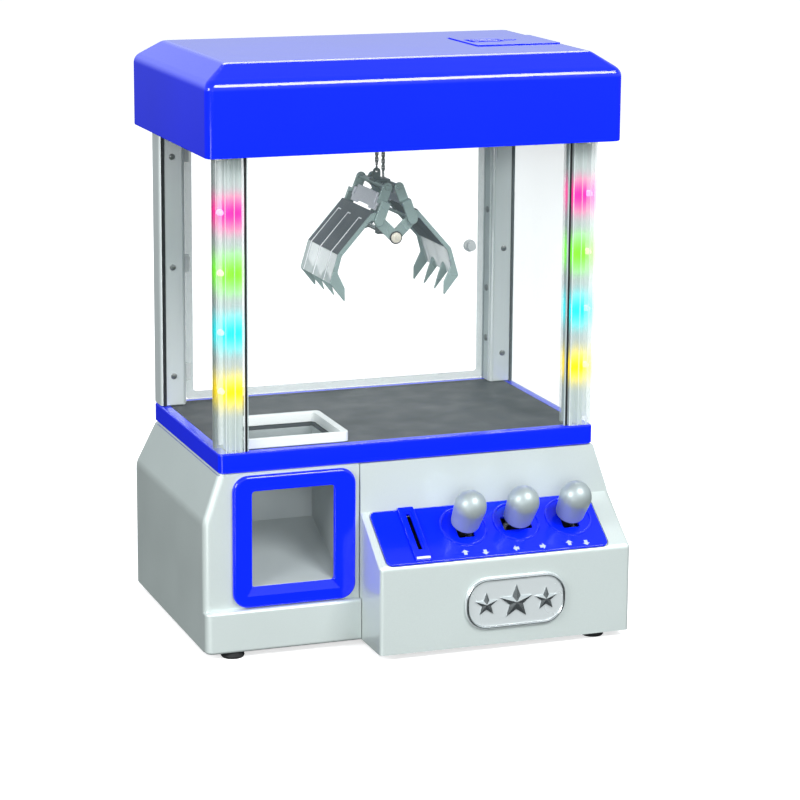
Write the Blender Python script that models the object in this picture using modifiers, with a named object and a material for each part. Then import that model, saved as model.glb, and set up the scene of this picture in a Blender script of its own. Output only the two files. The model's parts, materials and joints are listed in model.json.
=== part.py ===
"""Toy claw crane machine: a tabletop cabinet with a gantry, a hoisted two-jaw claw and three levers.

Run with: blender --background --python part.py
The frame is +X right, +Y back, +Z up, with the origin on the floor under the middle of the whole toy.
Lengths below are in millimetres, with y measured from the middle of the play chamber, which stands
CHAMBER_Y behind the origin. MM turns them into metres.
"""

import math

import bmesh
import bpy
from mathutils import Matrix, Vector

MM = 0.001

# Clearances
GAP = 0.3
RUNNING = 0.15
WALL = 2.4

# Whole cabinet
CHAMBER_Y = 10.45
CABINET_W = 268.0
CABINET_BACK = 91.1
CABINET_H = 368.0
FOOT_H = 4.0
FOOT_R = 7.5

# Base, the silver lower housing
BASE_BOTTOM = FOOT_H + GAP
BASE_SHOULDER_Z = 87.0
BASE_FRONT = -72.4
CORNER_R = 4.5
PLINTH_TOP = 31.0
PLINTH_FRONT = -77.3
SEAM_X = -33.4
CONSOLE_BACK = -66.3
CONSOLE_FRONT = -111.8
CONSOLE_FRONT_TOP = 60.1
SLOPE_TOP = (-74.35, 85.9)

# Openings in the back of the base
DRAWER_X = (-30.0, 22.0)
DRAWER_Z = (6.6, 32.0)
SWITCH_X = (70.0, 80.0)
SWITCH_Z = (60.0, 66.0)

# Waist band between the base and the play chamber
WAIST_W = 247.9
WAIST_FRONT = -73.1
WAIST_BACK = 77.6
WAIST_BOTTOM = 117.4
WAIST_TOP = 130.0
BAND = 6.2

# Play chamber
POST = 17.0
LENS_WALL = 1.3
CHAMBER_TOP = 312.9
GLAZING = 1.2
FLOOR_T = 2.0
LED_HEIGHTS = (168.0, 204.5, 241.0, 278.0)
LED_X = 120.5

# Canopy
CANOPY_BOTTOM = 312.8
CANOPY_RIM = 356.9
CANOPY_HALF_D = 85.5
CANOPY_INSET = 15.8
CEILING_Z = 313.2
ROOF_T = 2.5
BATTERY_X = (61.0, 117.8)
BATTERY_Y = (-25.0, 27.0)

# Prize opening in the front and hole in the play floor
PORT_X = (-103.7, -50.5)
PORT_Z = (44.5, 105.6)
BEZEL_X = (-115.8, -36.3)
BEZEL_Z = (31.5, 115.5)
CHUTE_X = (-106.3, -42.0)
CHUTE_BACK = -9.0

# Control panel, in the slope's own frame: y runs up the slope and z stands off it
SLOPE_RUN = SLOPE_TOP[0] - CONSOLE_FRONT
SLOPE_DROP = SLOPE_TOP[1] - CONSOLE_FRONT_TOP
SLOPE_LENGTH = math.hypot(SLOPE_RUN, SLOPE_DROP)
SLOPE_ANGLE = math.atan2(SLOPE_DROP, SLOPE_RUN)
PANEL_X = (-28.0, 119.5)
PANEL_TOP = 0.9
PANEL_T = 1.8
LEVER_X = (29.0, 64.4, 99.8)
LEVER_Y = -19.6
LEVER_PIVOT = -12.0
KNOB_R = 10.15
KNOB_LOW = 17.5
KNOB_HIGH = 43.5
SLOT_X = (-5.8, -2.8)
SLOT_Y = (-34.8, -5.6)

# Gantry under the canopy
RAIL_X = (92.0, 99.4)
RAIL_TOP = 323.0
WHEEL_R = 5.0
AXLE_Y = 22.0
AXLE_Z = RAIL_TOP + GAP + WHEEL_R
BRIDGE_Z = (325.0, 333.0)
DRUM_Z = 340.8

# Claw: x and z from the lower pivot, with the right jaw written and the left one mirrored
CLAW_X = 5.0
CLAW_Z = 250.0
HEAD_PIN = (4.0, 31.0)
SHOULDER = (11.5, 11.0)
JAW_BACK = ((15.0, 17.2), (38.2, -9.0), (43.5, -27.0))
JAW_TIP = (33.5, -39.5)
JAW_SHEET = 1.4
JAW_HALF_WIDTH = {"right": 28.2, "left": 30.0}
PIN_R = 1.1
PIN_HOLE_R = 2.05
PIN_REACH = 1.2
EAR_R = 3.2
EAR_Y = (24.0, 25.6)
OUTER_EAR = (0.3, 2.3)
SHELF = (8.6, 10.8)
CHAIN_OFFSET = 2.2
CHAIN_TOP = 333.4

# Colour, roughness and metallic value of each material
MATERIALS = {
    "blue_gloss": ((0.006, 0.025, 0.90), 0.22, 0.0),
    "silver_satin": ((0.68, 0.74, 0.72), 0.34, 0.55),
    "grey_plastic": ((0.50, 0.54, 0.53), 0.45, 0.0),
    "dark_floor": ((0.055, 0.060, 0.065), 0.50, 0.0),
    "black_plastic": ((0.012, 0.012, 0.014), 0.45, 0.0),
    "black_rubber": ((0.012, 0.012, 0.012), 0.80, 0.0),
    "clear_plastic": ((0.90, 0.94, 0.94), 0.05, 0.0),
    "claw_plastic": ((0.34, 0.41, 0.40), 0.35, 0.45),
    "knob_silver": ((0.62, 0.63, 0.65), 0.28, 0.85),
    "chrome": ((0.80, 0.80, 0.80), 0.10, 1.0),
    "steel": ((0.55, 0.56, 0.58), 0.30, 1.0),
    "board_green": ((0.02, 0.16, 0.06), 0.45, 0.0),
    "gear_white": ((0.80, 0.78, 0.70), 0.45, 0.0),
}

SLOPE = Matrix.Translation(Vector((0.0, *SLOPE_TOP)) * MM) @ Matrix.Rotation(SLOPE_ANGLE, 4, "X")
AXES = {"X": (1, 2), "Y": (0, 2), "Z": (0, 1)}


def clear_scene():
    for existing in list(bpy.data.objects):
        bpy.data.objects.remove(existing, do_unlink=True)


def new_collection(name):
    collection = bpy.data.collections.new(name)
    bpy.context.scene.collection.children.link(collection)
    return collection


def material(name):
    """The named material, made the first time that it is asked for."""
    found = bpy.data.materials.get(name)
    if found:
        return found
    colour, roughness, metallic = MATERIALS[name]
    made = bpy.data.materials.new(name)
    made.use_nodes = True
    made.diffuse_color = (*colour, 1.0)
    shader = made.node_tree.nodes["Principled BSDF"]
    shader.inputs["Base Color"].default_value = (*colour, 1.0)
    shader.inputs["Roughness"].default_value = roughness
    shader.inputs["Metallic"].default_value = metallic
    if name == "clear_plastic":
        shader.inputs["Transmission Weight"].default_value = 1.0
    return made


def at(x=0.0, y=0.0, z=0.0):
    return Matrix.Translation(Vector((x, y, z)) * MM)


def rounded_rectangle(low, high, radius, steps=3):
    """The corners of a rectangle with each corner turned through a quarter circle."""
    centres = (
        (high[0] - radius, high[1] - radius),
        (low[0] + radius, high[1] - radius),
        (low[0] + radius, low[1] + radius),
        (high[0] - radius, low[1] + radius),
    )
    points = []
    for quarter, (x, y) in enumerate(centres):
        for step in range(steps + 1):
            angle = (quarter + step / steps) * math.pi / 2
            points.append((x + radius * math.cos(angle), y + radius * math.sin(angle)))
    return points


def capsule(start, end, radius, steps=6):
    """The outline of a link: a half circle about the start, then one about the end."""
    along = math.atan2(end[1] - start[1], end[0] - start[0])
    points = []
    for centre, first in ((start, math.pi / 2), (end, -math.pi / 2)):
        for step in range(steps + 1):
            angle = along + first + math.pi * step / steps
            points.append((centre[0] + radius * math.cos(angle), centre[1] + radius * math.sin(angle)))
    return points


def thick_line(points, thickness):
    """The outline of a bent sheet: the points, then the same points moved to their right-hand side."""
    offsets = []
    for index, point in enumerate(points):
        before = Vector(points[max(index - 1, 0)])
        after = Vector(points[min(index + 1, len(points) - 1)])
        run = (after - before).normalized()
        offsets.append((point[0] + run.y * thickness, point[1] - run.x * thickness))
    return list(points) + offsets[::-1]


def mirrored(points, side):
    return [(x * side, z) for x, z in points]


class Shape:
    """Closed shells, gathered in one bmesh from sizes in millimetres."""

    def __init__(self):
        self.bm = bmesh.new()

    def _face_outward(self, faces):
        bmesh.ops.recalc_face_normals(self.bm, faces=faces)

    def box(self, low, high):
        size = [b - a for a, b in zip(low, high)]
        centre = [(a + b) / 2 for a, b in zip(low, high)]
        matrix = at(*centre) @ Matrix.Diagonal((*(edge * MM for edge in size), 1.0))
        bmesh.ops.create_cube(self.bm, size=1.0, matrix=matrix)
        return self

    def prism(self, outline, axis, low, high):
        """An outline in the plane across the axis, drawn out from low to high along it."""
        first, second = AXES[axis]
        along = 3 - first - second
        corners = []
        for a, b in outline:
            place = [0.0, 0.0, 0.0]
            place[first], place[second], place[along] = a * MM, b * MM, low * MM
            corners.append(self.bm.verts.new(place))
        face = self.bm.faces.new(corners)
        moved = bmesh.ops.extrude_face_region(self.bm, geom=[face])["geom"]
        ends = [item for item in moved if isinstance(item, bmesh.types.BMVert)]
        shift = Vector([0.0, 0.0, 0.0])
        shift[along] = (high - low) * MM
        bmesh.ops.translate(self.bm, verts=ends, vec=shift)
        faces = {item for vert in corners + ends for item in vert.link_faces}
        self._face_outward(list(faces))
        return self

    def loft(self, sections):
        """Outlines with as many points each, as (outline, z), joined from the first to the last."""
        rings = [[self.bm.verts.new((x * MM, y * MM, z * MM)) for x, y in line] for line, z in sections]
        faces = [self.bm.faces.new(rings[0]), self.bm.faces.new(rings[-1])]
        for lower, upper in zip(rings, rings[1:]):
            for index in range(len(lower)):
                after = (index + 1) % len(lower)
                faces.append(self.bm.faces.new((lower[index], lower[after], upper[after], upper[index])))
        self._face_outward(faces)
        return self

    def rod(self, start, end, radius, sides=14):
        start, end = Vector(start) * MM, Vector(end) * MM
        turn = (end - start).to_track_quat("Z", "Y").to_matrix().to_4x4()
        bmesh.ops.create_cone(
            self.bm,
            cap_ends=True,
            segments=sides,
            radius1=radius * MM,
            radius2=radius * MM,
            depth=(end - start).length,
            matrix=Matrix.Translation((start + end) / 2) @ turn,
        )
        return self

    def dome(self, centre, radius, segments=10):
        matrix = at(*centre)
        bmesh.ops.create_uvsphere(
            self.bm, u_segments=segments, v_segments=segments // 2, radius=radius * MM, matrix=matrix
        )
        return self

    def mesh(self, name):
        made = bpy.data.meshes.new(name)
        self.bm.to_mesh(made)
        self.bm.free()
        return made


def on_stand(frame=None):
    """A frame measured from the chamber's middle, as one measured from the origin."""
    return at(0.0, CHAMBER_Y) @ (frame or Matrix.Identity(4))


def place_object(name, mesh, collection, frame):
    made = bpy.data.objects.new(name, mesh)
    made.matrix_world = frame
    collection.objects.link(made)
    return made


def cutter(owner, shape, operation, use="", frame=None):
    """A hidden helper, placed in the owner's frame, that a Boolean joins to the owner or takes from it."""
    name = f"{owner.name}_{use or operation.lower()}"
    helper = place_object(name, shape.mesh(name), CUTTERS, frame or Matrix.Identity(4))
    helper.parent = owner
    helper.hide_render = True
    helper.display_type = "WIRE"
    boolean = owner.modifiers.new(name, "BOOLEAN")
    boolean.operation = operation
    boolean.solver = "EXACT"
    boolean.use_self = True
    boolean.object = helper
    return helper


def node(name, finish, shape, add=None, cut=None, frame=None, bevel=0.0, segments=2):
    """One sub-part: a shape, rounded if asked, joined with add and then cut by cut."""
    made = place_object(name, shape.mesh(name), PARTS, on_stand(frame))
    made.data.materials.append(material(finish))
    if bevel:
        rounding = made.modifiers.new("Rounding", "BEVEL")
        rounding.width = bevel * MM
        rounding.segments = segments
        rounding.limit_method = "ANGLE"
        rounding.angle_limit = math.radians(30)
    if add:
        cutter(made, add, "UNION")
    if cut:
        cutter(made, cut, "DIFFERENCE")
    return made


def turned(name, finish, profile, frame, steps=24, cut=None):
    """A turned sub-part: (radius, z) points down its outer side, spun about the frame's Z."""
    mesh = bpy.data.meshes.new(name)
    points = [(radius * MM, 0.0, z * MM) for radius, z in profile]
    mesh.from_pydata(points, [(i, i + 1) for i in range(len(points) - 1)], [])
    made = place_object(name, mesh, PARTS, on_stand(frame))
    made.data.materials.append(material(finish))
    screw = made.modifiers.new("Turn", "SCREW")
    screw.steps = steps
    screw.render_steps = steps
    screw.use_merge_vertices = True
    screw.merge_threshold = 0.00001
    screw.use_smooth_shade = True
    if cut:
        cutter(made, cut, "DIFFERENCE")
    return made


def attach(children, parent):
    """Parent each child without moving it."""
    bpy.context.view_layer.update()
    for child in children:
        world = child.matrix_world.copy()
        child.parent = parent
        child.matrix_parent_inverse = parent.matrix_world.inverted()
        child.matrix_world = world


def joint_empty(name, frame):
    made = bpy.data.objects.new(name, None)
    made.empty_display_size = 0.02
    made.matrix_world = on_stand(frame)
    PARTS.objects.link(made)
    return made


# ---------------------------------------------------------------- base


def base_outline(inset, half_width, back):
    low = (-half_width + inset, BASE_FRONT + inset)
    high = (half_width - inset, back - inset)
    return rounded_rectangle(low, high, CORNER_R - min(inset, CORNER_R - 1.5))


def build_base_housing():
    half, waist = CABINET_W / 2, WAIST_W / 2
    top = WAIST_BOTTOM - GAP
    outer = Shape().loft(
        [
            (base_outline(0.0, half, CABINET_BACK), BASE_BOTTOM),
            (base_outline(0.0, half, CABINET_BACK), BASE_SHOULDER_Z),
            (base_outline(0.0, waist, WAIST_BACK), top),
        ]
    )
    plinth = rounded_rectangle((-half, PLINTH_FRONT), (0.0, BASE_FRONT + 8.0), CORNER_R)
    ledge = Shape().prism(plinth, "Z", BASE_BOTTOM, PLINTH_TOP)
    inner = Shape().loft(
        [
            (base_outline(WALL, half, CABINET_BACK), BASE_BOTTOM - 1.0),
            (base_outline(WALL, half, CABINET_BACK), BASE_SHOULDER_Z - 0.8),
            (base_outline(WALL, waist, WAIST_BACK), top + 1.0),
        ]
    )
    inner.box((SEAM_X - 0.1, -90.0, 0.0), (half + 6.0, CONSOLE_BACK + GAP, top + 2.0))
    inner.box((CHUTE_X[0] - GAP, -90.0, 38.0), (CHUTE_X[1] + GAP, BASE_FRONT + 5.0, 111.0))
    play = 0.4
    inner.box((DRAWER_X[0] - play, 80.0, DRAWER_Z[0] - play), (DRAWER_X[1] + play, 100.0, DRAWER_Z[1] + play))
    inner.box((SWITCH_X[0], 80.0, SWITCH_Z[0]), (SWITCH_X[1], 100.0, SWITCH_Z[1]))
    node("base_housing", "silver_satin", outer, add=ledge, cut=inner)


def console_profile():
    """Side view of the console from its top, over the slope and down to the floor, as (y, z)."""
    return [
        (CONSOLE_BACK, WAIST_BOTTOM - GAP),
        (WAIST_FRONT, WAIST_BOTTOM - GAP),
        SLOPE_TOP,
        (CONSOLE_FRONT, CONSOLE_FRONT_TOP),
        (CONSOLE_FRONT, BASE_BOTTOM),
        (CONSOLE_BACK, BASE_BOTTOM),
    ]


def inner_console_profile():
    """The console's hollow, which runs out through its open back, top and floor."""
    return [
        (CONSOLE_BACK + 5.0, WAIST_BOTTOM + 3.0),
        (WAIST_FRONT + WALL, WAIST_BOTTOM + 3.0),
        (SLOPE_TOP[0] + WALL, SLOPE_TOP[1] - 1.6),
        (CONSOLE_FRONT + WALL, CONSOLE_FRONT_TOP - 1.6),
        (CONSOLE_FRONT + WALL, BASE_BOTTOM - 3.0),
        (CONSOLE_BACK + 5.0, BASE_BOTTOM - 3.0),
    ]


def build_console_housing():
    half, waist = CABINET_W / 2, WAIST_W / 2
    left = SEAM_X + GAP
    outer = Shape().prism(console_profile(), "X", left, half)
    cuts = Shape().prism(inner_console_profile(), "X", left + WALL, half - WALL)
    flare = [(waist, WAIST_BOTTOM), (half, BASE_SHOULDER_Z), (half + 8.0, BASE_SHOULDER_Z)]
    flare.append((half + 8.0, WAIST_BOTTOM + 4.0))
    flare.append((waist, WAIST_BOTTOM + 4.0))
    side = Shape().prism(flare, "Y", -125.0, CONSOLE_BACK + 8.0)
    made = node("console_housing", "silver_satin", outer, cut=cuts, bevel=2.6)
    cutter(made, side, "DIFFERENCE", "flare")
    panel = rounded_rectangle((PANEL_X[0] - GAP, 1.0 - SLOPE_LENGTH), (PANEL_X[1] + GAP, -0.6), 3.8)
    pocket = Shape().prism(panel, "Z", PANEL_TOP - PANEL_T - GAP, 10.0)
    cutter(made, pocket, "DIFFERENCE", "pocket", SLOPE)
    window = Shape().box((-12.0, -40.0, -9.0), (113.0, -4.5, 0.5))
    cutter(made, window, "DIFFERENCE", "window", SLOPE)


def build_base_plate():
    half = CABINET_W / 2
    clear = WALL + 0.4
    top = BASE_BOTTOM + 1.7
    low = (-half + clear, CONSOLE_BACK + 3.0)
    high = (half - clear, CABINET_BACK - clear)
    plate = Shape().prism(rounded_rectangle(low, high, 3.0), "Z", BASE_BOTTOM, top)
    tongue = Shape()
    tongue.box((SEAM_X + WALL + 1.0, CONSOLE_FRONT + clear, BASE_BOTTOM), (half - clear, -50.0, top))
    tongue.box((-half + clear + 1.0, BASE_FRONT + clear + 1.0, BASE_BOTTOM), (SEAM_X - 3.0, -50.0, top))
    slots = Shape()
    for index in range(5):
        x = -104.0 + 6.0 * index
        slots.box((x, 48.0, 0.0), (x + 2.4, 72.0, 10.0))
    node("base_plate", "black_plastic", plate, add=tongue, cut=slots)


def build_feet():
    places = (
        ("foot_front_left", -115.0, -69.0),
        ("foot_front_right", 114.0, -100.0),
        ("foot_back_left", -115.0, 80.0),
        ("foot_back_right", 114.0, 80.0),
    )
    profile = ((0.0, FOOT_H), (FOOT_R - 0.7, FOOT_H), (FOOT_R, 1.2), (FOOT_R - 0.8, 0.0), (0.0, 0.0))
    for name, x, y in places:
        turned(name, "black_rubber", profile, at(x, y, 0.0), steps=20)


def build_waist_frame():
    half = WAIST_W / 2
    outer = rounded_rectangle((-half, WAIST_FRONT), (half, WAIST_BACK), 3.5)
    ring = Shape().prism(outer, "Z", WAIST_BOTTOM, WAIST_TOP)
    hole = Shape().box((-half + BAND, WAIST_FRONT + BAND, 110.0), (half - BAND, WAIST_BACK - BAND, 140.0))
    node("waist_frame", "blue_gloss", ring, cut=hole)


def build_play_floor():
    half = WAIST_W / 2 - BAND - GAP
    low = (-half, WAIST_FRONT + BAND + GAP, WAIST_TOP - FLOOR_T)
    high = (half, WAIST_BACK - BAND - GAP, WAIST_TOP)
    hole = Shape().box((CHUTE_X[0] + 2.0, -64.5, 120.0), (CHUTE_X[1] - 2.0, CHUTE_BACK - 2.0, 140.0))
    node("play_floor", "dark_floor", Shape().box(low, high), cut=hole)


def build_chute_collar():
    """The raised rim round the hole that prizes are dropped through."""
    low, high = (-106.3, -66.5), (-38.0, -6.0)
    ring = Shape().prism(rounded_rectangle(low, high, 3.0), "Z", WAIST_TOP + GAP, WAIST_TOP + 6.6)
    inner = rounded_rectangle((CHUTE_X[0] + 2.0, -64.2), (CHUTE_X[1] - 0.8, CHUTE_BACK - 1.6), 2.0)
    node("chute_collar", "grey_plastic", ring, cut=Shape().prism(inner, "Z", 120.0, 150.0))


def build_prize_chute():
    """A duct from the floor's hole down a ramp to the prize opening."""
    top = WAIST_TOP - FLOOR_T - GAP
    front, throat = BASE_FRONT, WAIST_FRONT + BAND + GAP
    shelf = PORT_Z[1] + 2.4
    outer = [(front, 41.0), (front, shelf), (throat, shelf), (throat, top)]
    outer += [(CHUTE_BACK, top), (CHUTE_BACK, 66.0), (-42.0, 52.5)]
    inner = [
        (front - 5.0, 43.6),
        (front - 5.0, PORT_Z[1]),
        (throat + 2.0, PORT_Z[1]),
        (throat + 2.0, top + 5.0),
        (CHUTE_BACK - 2.0, top + 5.0),
        (CHUTE_BACK - 2.0, 68.4),
        (-41.4, 55.0),
        (front, 44.8),
    ]
    duct = Shape().prism(outer, "X", *CHUTE_X)
    hollow = Shape().prism(inner, "X", CHUTE_X[0] + 2.0, CHUTE_X[1] - 2.0)
    node("prize_chute", "grey_plastic", duct, cut=hollow)


def build_prize_bezel():
    front, back = -75.4, BASE_FRONT - GAP
    ring = Shape().prism(rounded_rectangle(*zip(BEZEL_X, BEZEL_Z), 10.0, steps=5), "Y", front, back)
    opening = rounded_rectangle(*zip(PORT_X, PORT_Z), 2.0)
    hole = Shape().prism(opening, "Y", front - 2.0, back + 2.0)
    lip = [(front - 1.0, PORT_Z[0] - 8.5), (back - 0.6, PORT_Z[0] + 0.2), (front - 1.0, PORT_Z[0] + 0.2)]
    hole.prism(lip, "X", PORT_X[0] + 1.0, PORT_X[1] - 1.0)
    node("prize_bezel", "blue_gloss", ring, cut=hole)


# ---------------------------------------------------------------- controls


def lever_hole(index):
    """Half sizes of the hole for one lever: wide where it moves left and right."""
    return (9.5, 5.5) if index == 1 else (5.5, 8.0)


def build_control_panel():
    outline = rounded_rectangle((PANEL_X[0], 1.3 - SLOPE_LENGTH), (PANEL_X[1], -0.9), 3.5)
    plate = Shape().prism(outline, "Z", PANEL_TOP - PANEL_T, PANEL_TOP)
    cuts = Shape()
    for index, x in enumerate(LEVER_X):
        wide, high = lever_hole(index)
        cuts.box((x - wide, LEVER_Y - high, -5.0), (x + wide, LEVER_Y + high, 5.0))
    cuts.box((SLOT_X[0] - 0.6, SLOT_Y[0] - 0.6, -5.0), (SLOT_X[1] + 0.6, SLOT_Y[1] + 0.6, 5.0))
    node("control_panel", "blue_gloss", plate, cut=cuts, frame=SLOPE)


def build_coin_slot_bezel():
    low, high = (-9.2, -42.4, PANEL_TOP + GAP), (1.0, -1.2, PANEL_TOP + 1.9)
    slot = Shape().box((SLOT_X[0], SLOT_Y[0], -5.0), (SLOT_X[1], SLOT_Y[1], 9.0))
    node("coin_slot_bezel", "blue_gloss", Shape().box(low, high), cut=slot, frame=SLOPE)


def build_coin_chute():
    """A narrow runway on which a token rolls on its edge from the slot to the drawer."""
    outer = [(-106.8, 49.0), (-106.8, 58.8), (-76.0, 80.4), (-60.0, 81.0), (24.0, 65.0), (24.0, 30.4)]
    inner = [(-105.4, 51.6), (-105.4, 66.0), (-78.0, 84.6), (-61.0, 79.0), (30.0, 62.0), (30.0, 31.6)]
    low, high = SLOT_X[0] - 2.0, SLOT_X[1] + 2.0
    runway = Shape().prism(outer, "X", low, high)
    track = Shape().prism(inner, "X", SLOT_X[0] - 0.5, SLOT_X[1] + 0.5)
    track.box((low - 1.0, -60.0, 63.0), (SLOT_X[0] + 0.4, -50.0, 68.0))
    node("coin_chute", "grey_plastic", runway, cut=track)


def build_coin_lever():
    """The sprung switch lever that a rolling token pushes aside."""
    pivot = at(SLOT_X[0] - 5.0, -56.0, 65.5)
    arm = Shape().box((-0.5, -1.6, -1.2), (6.2, 0.0, 1.2))
    hub = Shape().rod((0.0, 0.0, -2.2), (0.0, 0.0, 2.2), 1.4, sides=12)
    node("coin_lever", "steel", arm, add=hub, frame=pivot)


def build_lever_bracket():
    """A bar under the panel with two ears for each lever's cross pin."""
    centre = LEVER_Y
    bar = Shape().box((17.0, centre - 10.0, -20.5), (112.0, centre + 10.0, -18.7))
    ears = Shape()
    holes = Shape()
    for index, x in enumerate(LEVER_X):
        for side in (-1, 1):
            if index == 1:
                low = (x - 3.0, centre + side * 7.6 - 0.8, -19.5)
                high = (x + 3.0, centre + side * 7.6 + 0.8, -9.5)
            else:
                low = (x + side * 7.6 - 0.8, centre - 3.0, -19.5)
                high = (x + side * 7.6 + 0.8, centre + 3.0, -9.5)
            ears.box(low, high)
        if index == 1:
            holes.rod((x, centre - 12.0, LEVER_PIVOT), (x, centre + 12.0, LEVER_PIVOT), 1.65)
        else:
            holes.rod((x - 12.0, centre, LEVER_PIVOT), (x + 12.0, centre, LEVER_PIVOT), 1.65)
    node("lever_bracket", "grey_plastic", bar, add=ears, cut=holes, frame=SLOPE)


def build_levers():
    """Stem with cross pin, and domed knob, each about its own pivot below the panel."""
    names = ("forward_back", "left_right", "up_down")
    dome = KNOB_R
    for index, (name, x) in enumerate(zip(names, LEVER_X)):
        frame = SLOPE @ at(x, LEVER_Y, LEVER_PIVOT)
        stem = Shape().rod((0.0, 0.0, -2.6), (0.0, 0.0, KNOB_LOW - GAP), 3.0)
        pin = Shape().rod((0.0, 0.0, KNOB_LOW - 1.0), (0.0, 0.0, KNOB_LOW + 7.5), 2.0)
        if index == 1:
            pin.rod((0.0, -9.4, 0.0), (0.0, 9.4, 0.0), 1.5)
        else:
            pin.rod((-9.4, 0.0, 0.0), (9.4, 0.0, 0.0), 1.5)
        stem_object = node(f"lever_stem_{name}", "black_plastic", stem, add=pin, frame=frame)
        profile = [(0.0, KNOB_HIGH)]
        for step in range(1, 7):
            angle = math.pi / 2 * (1 - step / 6)
            profile.append((dome * math.cos(angle), KNOB_HIGH - dome + dome * math.sin(angle)))
        profile += [(dome - 0.6, KNOB_LOW + 1.0), (dome - 1.4, KNOB_LOW), (2.3, KNOB_LOW)]
        profile += [(2.3, KNOB_LOW + 8.0), (0.0, KNOB_LOW + 8.0)]
        knob = turned(f"lever_knob_{name}", "knob_silver", profile, frame, steps=20)
        attach([knob], stem_object)


def build_emblem():
    """A plain rounded badge on the console's front."""
    outline = rounded_rectangle((22.0, 14.5), (90.0, 48.5), 15.0, steps=6)
    front = CONSOLE_FRONT - GAP
    node("emblem_badge", "chrome", Shape().prism(outline, "Y", front - 1.5, front))


def build_electronics():
    board = Shape().box((62.0, -40.0, 14.0), (118.0, 20.0, 15.6))
    chips = Shape()
    for x, y, width, depth, height in ((74, -24, 14, 14, 2.0), (98, -26, 18, 8, 7.0), (90, 2, 10, 10, 9.0)):
        chips.box((x, y, 15.0), (x + width, y + depth, 15.6 + height))
    for x in (66.0, 114.0):
        for y in (-36.0, 16.0):
            chips.rod((x, y, BASE_BOTTOM + 2.0), (x, y, 14.8), 2.2, sides=10)
    node("circuit_board", "board_green", board, add=chips)
    profile = ((0.0, 20.0), (11.0, 20.0), (11.0, 14.0), (18.0, 9.0), (22.0, 9.0), (22.0, 6.4), (0.0, 6.4))
    turned("speaker", "black_plastic", profile, at(-91.0, 60.0, 0.0), steps=24)


def build_power_switch():
    low_x, high_x = SWITCH_X[0] + 0.6, SWITCH_X[1] - 5.0
    low_z, high_z = SWITCH_Z
    inside = CABINET_BACK - WALL - GAP
    body = Shape().box((low_x, CABINET_BACK - 8.0, low_z - 2.5), (high_x, inside, high_z + 2.5))
    button = Shape().box((low_x, CABINET_BACK - 6.0, low_z + 0.6), (high_x, CABINET_BACK + 1.6, high_z - 0.6))
    node("power_switch", "black_plastic", body, add=button)


def build_coin_drawer():
    """An open tray that slides out of the back."""
    left, right = DRAWER_X[0] + 4.0, DRAWER_X[1] - 4.0
    middle = (left + right) / 2
    front, inside = 26.0, CABINET_BACK - WALL
    tray = Shape().box((left, front, 8.0), (right, inside, 29.0))
    face = Shape().box((DRAWER_X[0], inside - 0.5, DRAWER_Z[0]), (DRAWER_X[1], CABINET_BACK, DRAWER_Z[1]))
    hollow = Shape().box((left + 2.0, front + 2.0, 9.8), (right - 2.0, inside - 0.4, 40.0))
    hollow.rod((middle, CABINET_BACK - 9.0, 33.0), (middle, CABINET_BACK + 5.0, 33.0), 9.0, sides=24)
    node("coin_drawer", "grey_plastic", tray, add=face, cut=hollow)


# ---------------------------------------------------------------- play chamber


def build_posts():
    """Square corner posts: clear lenses at the front, solid section at the back."""
    low, high = WAIST_TOP + GAP, CHAMBER_TOP
    outer = WAIST_W / 2 - 0.2
    for label, side in (("left", -1), ("right", 1)):
        x_pair = sorted((side * outer, side * (outer - POST)))
        tube = rounded_rectangle((x_pair[0], WAIST_FRONT), (x_pair[1], WAIST_FRONT + POST), 2.2)
        inside = (x_pair[0] + LENS_WALL, WAIST_FRONT + LENS_WALL, low - 1.0)
        bore = Shape().box(inside, (x_pair[1] - LENS_WALL, WAIST_FRONT + POST - LENS_WALL, high + 1.0))
        node(f"post_lens_{label}", "clear_plastic", Shape().prism(tube, "Z", low, high), cut=bore)
        core = sorted((side * (outer - POST + LENS_WALL + GAP), side * (LED_X - 3.4)))
        bar = Shape().box((core[0], WAIST_FRONT + 2.0, low), (core[1], WAIST_FRONT + POST - 1.7, high))
        groove = Shape()
        groove.box((core[0] + 2.2, WAIST_FRONT + 0.5, low - 1), (core[1] - 2.2, WAIST_FRONT + 8.0, high + 1))
        node(f"corner_post_front_{label}", "silver_satin", bar, cut=groove)
        back = rounded_rectangle((x_pair[0], WAIST_BACK - POST), (x_pair[1], WAIST_BACK), 2.2)
        hollow = Shape().box(
            (x_pair[0] + 2, WAIST_BACK - POST + 2, low - 1), (x_pair[1] - 2, WAIST_BACK - 2, high + 1)
        )
        node(f"corner_post_back_{label}", "silver_satin", Shape().prism(back, "Z", low, high), cut=hollow)
        build_led_strip(label, side, low, high)


def build_led_strip(label, side, low, high):
    x = side * LED_X
    board = Shape().box((x - 1.6, WAIST_FRONT + 7.6, low + 4.0), (x + 1.6, WAIST_FRONT + 8.8, high - 4.0))
    lamps = Shape()
    for z in LED_HEIGHTS:
        lamps.rod((x, WAIST_FRONT + 8.0, z), (x, WAIST_FRONT + 4.8, z), 1.7, sides=10)
        lamps.dome((x, WAIST_FRONT + 4.8, z), 1.66, segments=8)
    node(f"led_strip_{label}", "board_green", board, add=lamps)


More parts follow.
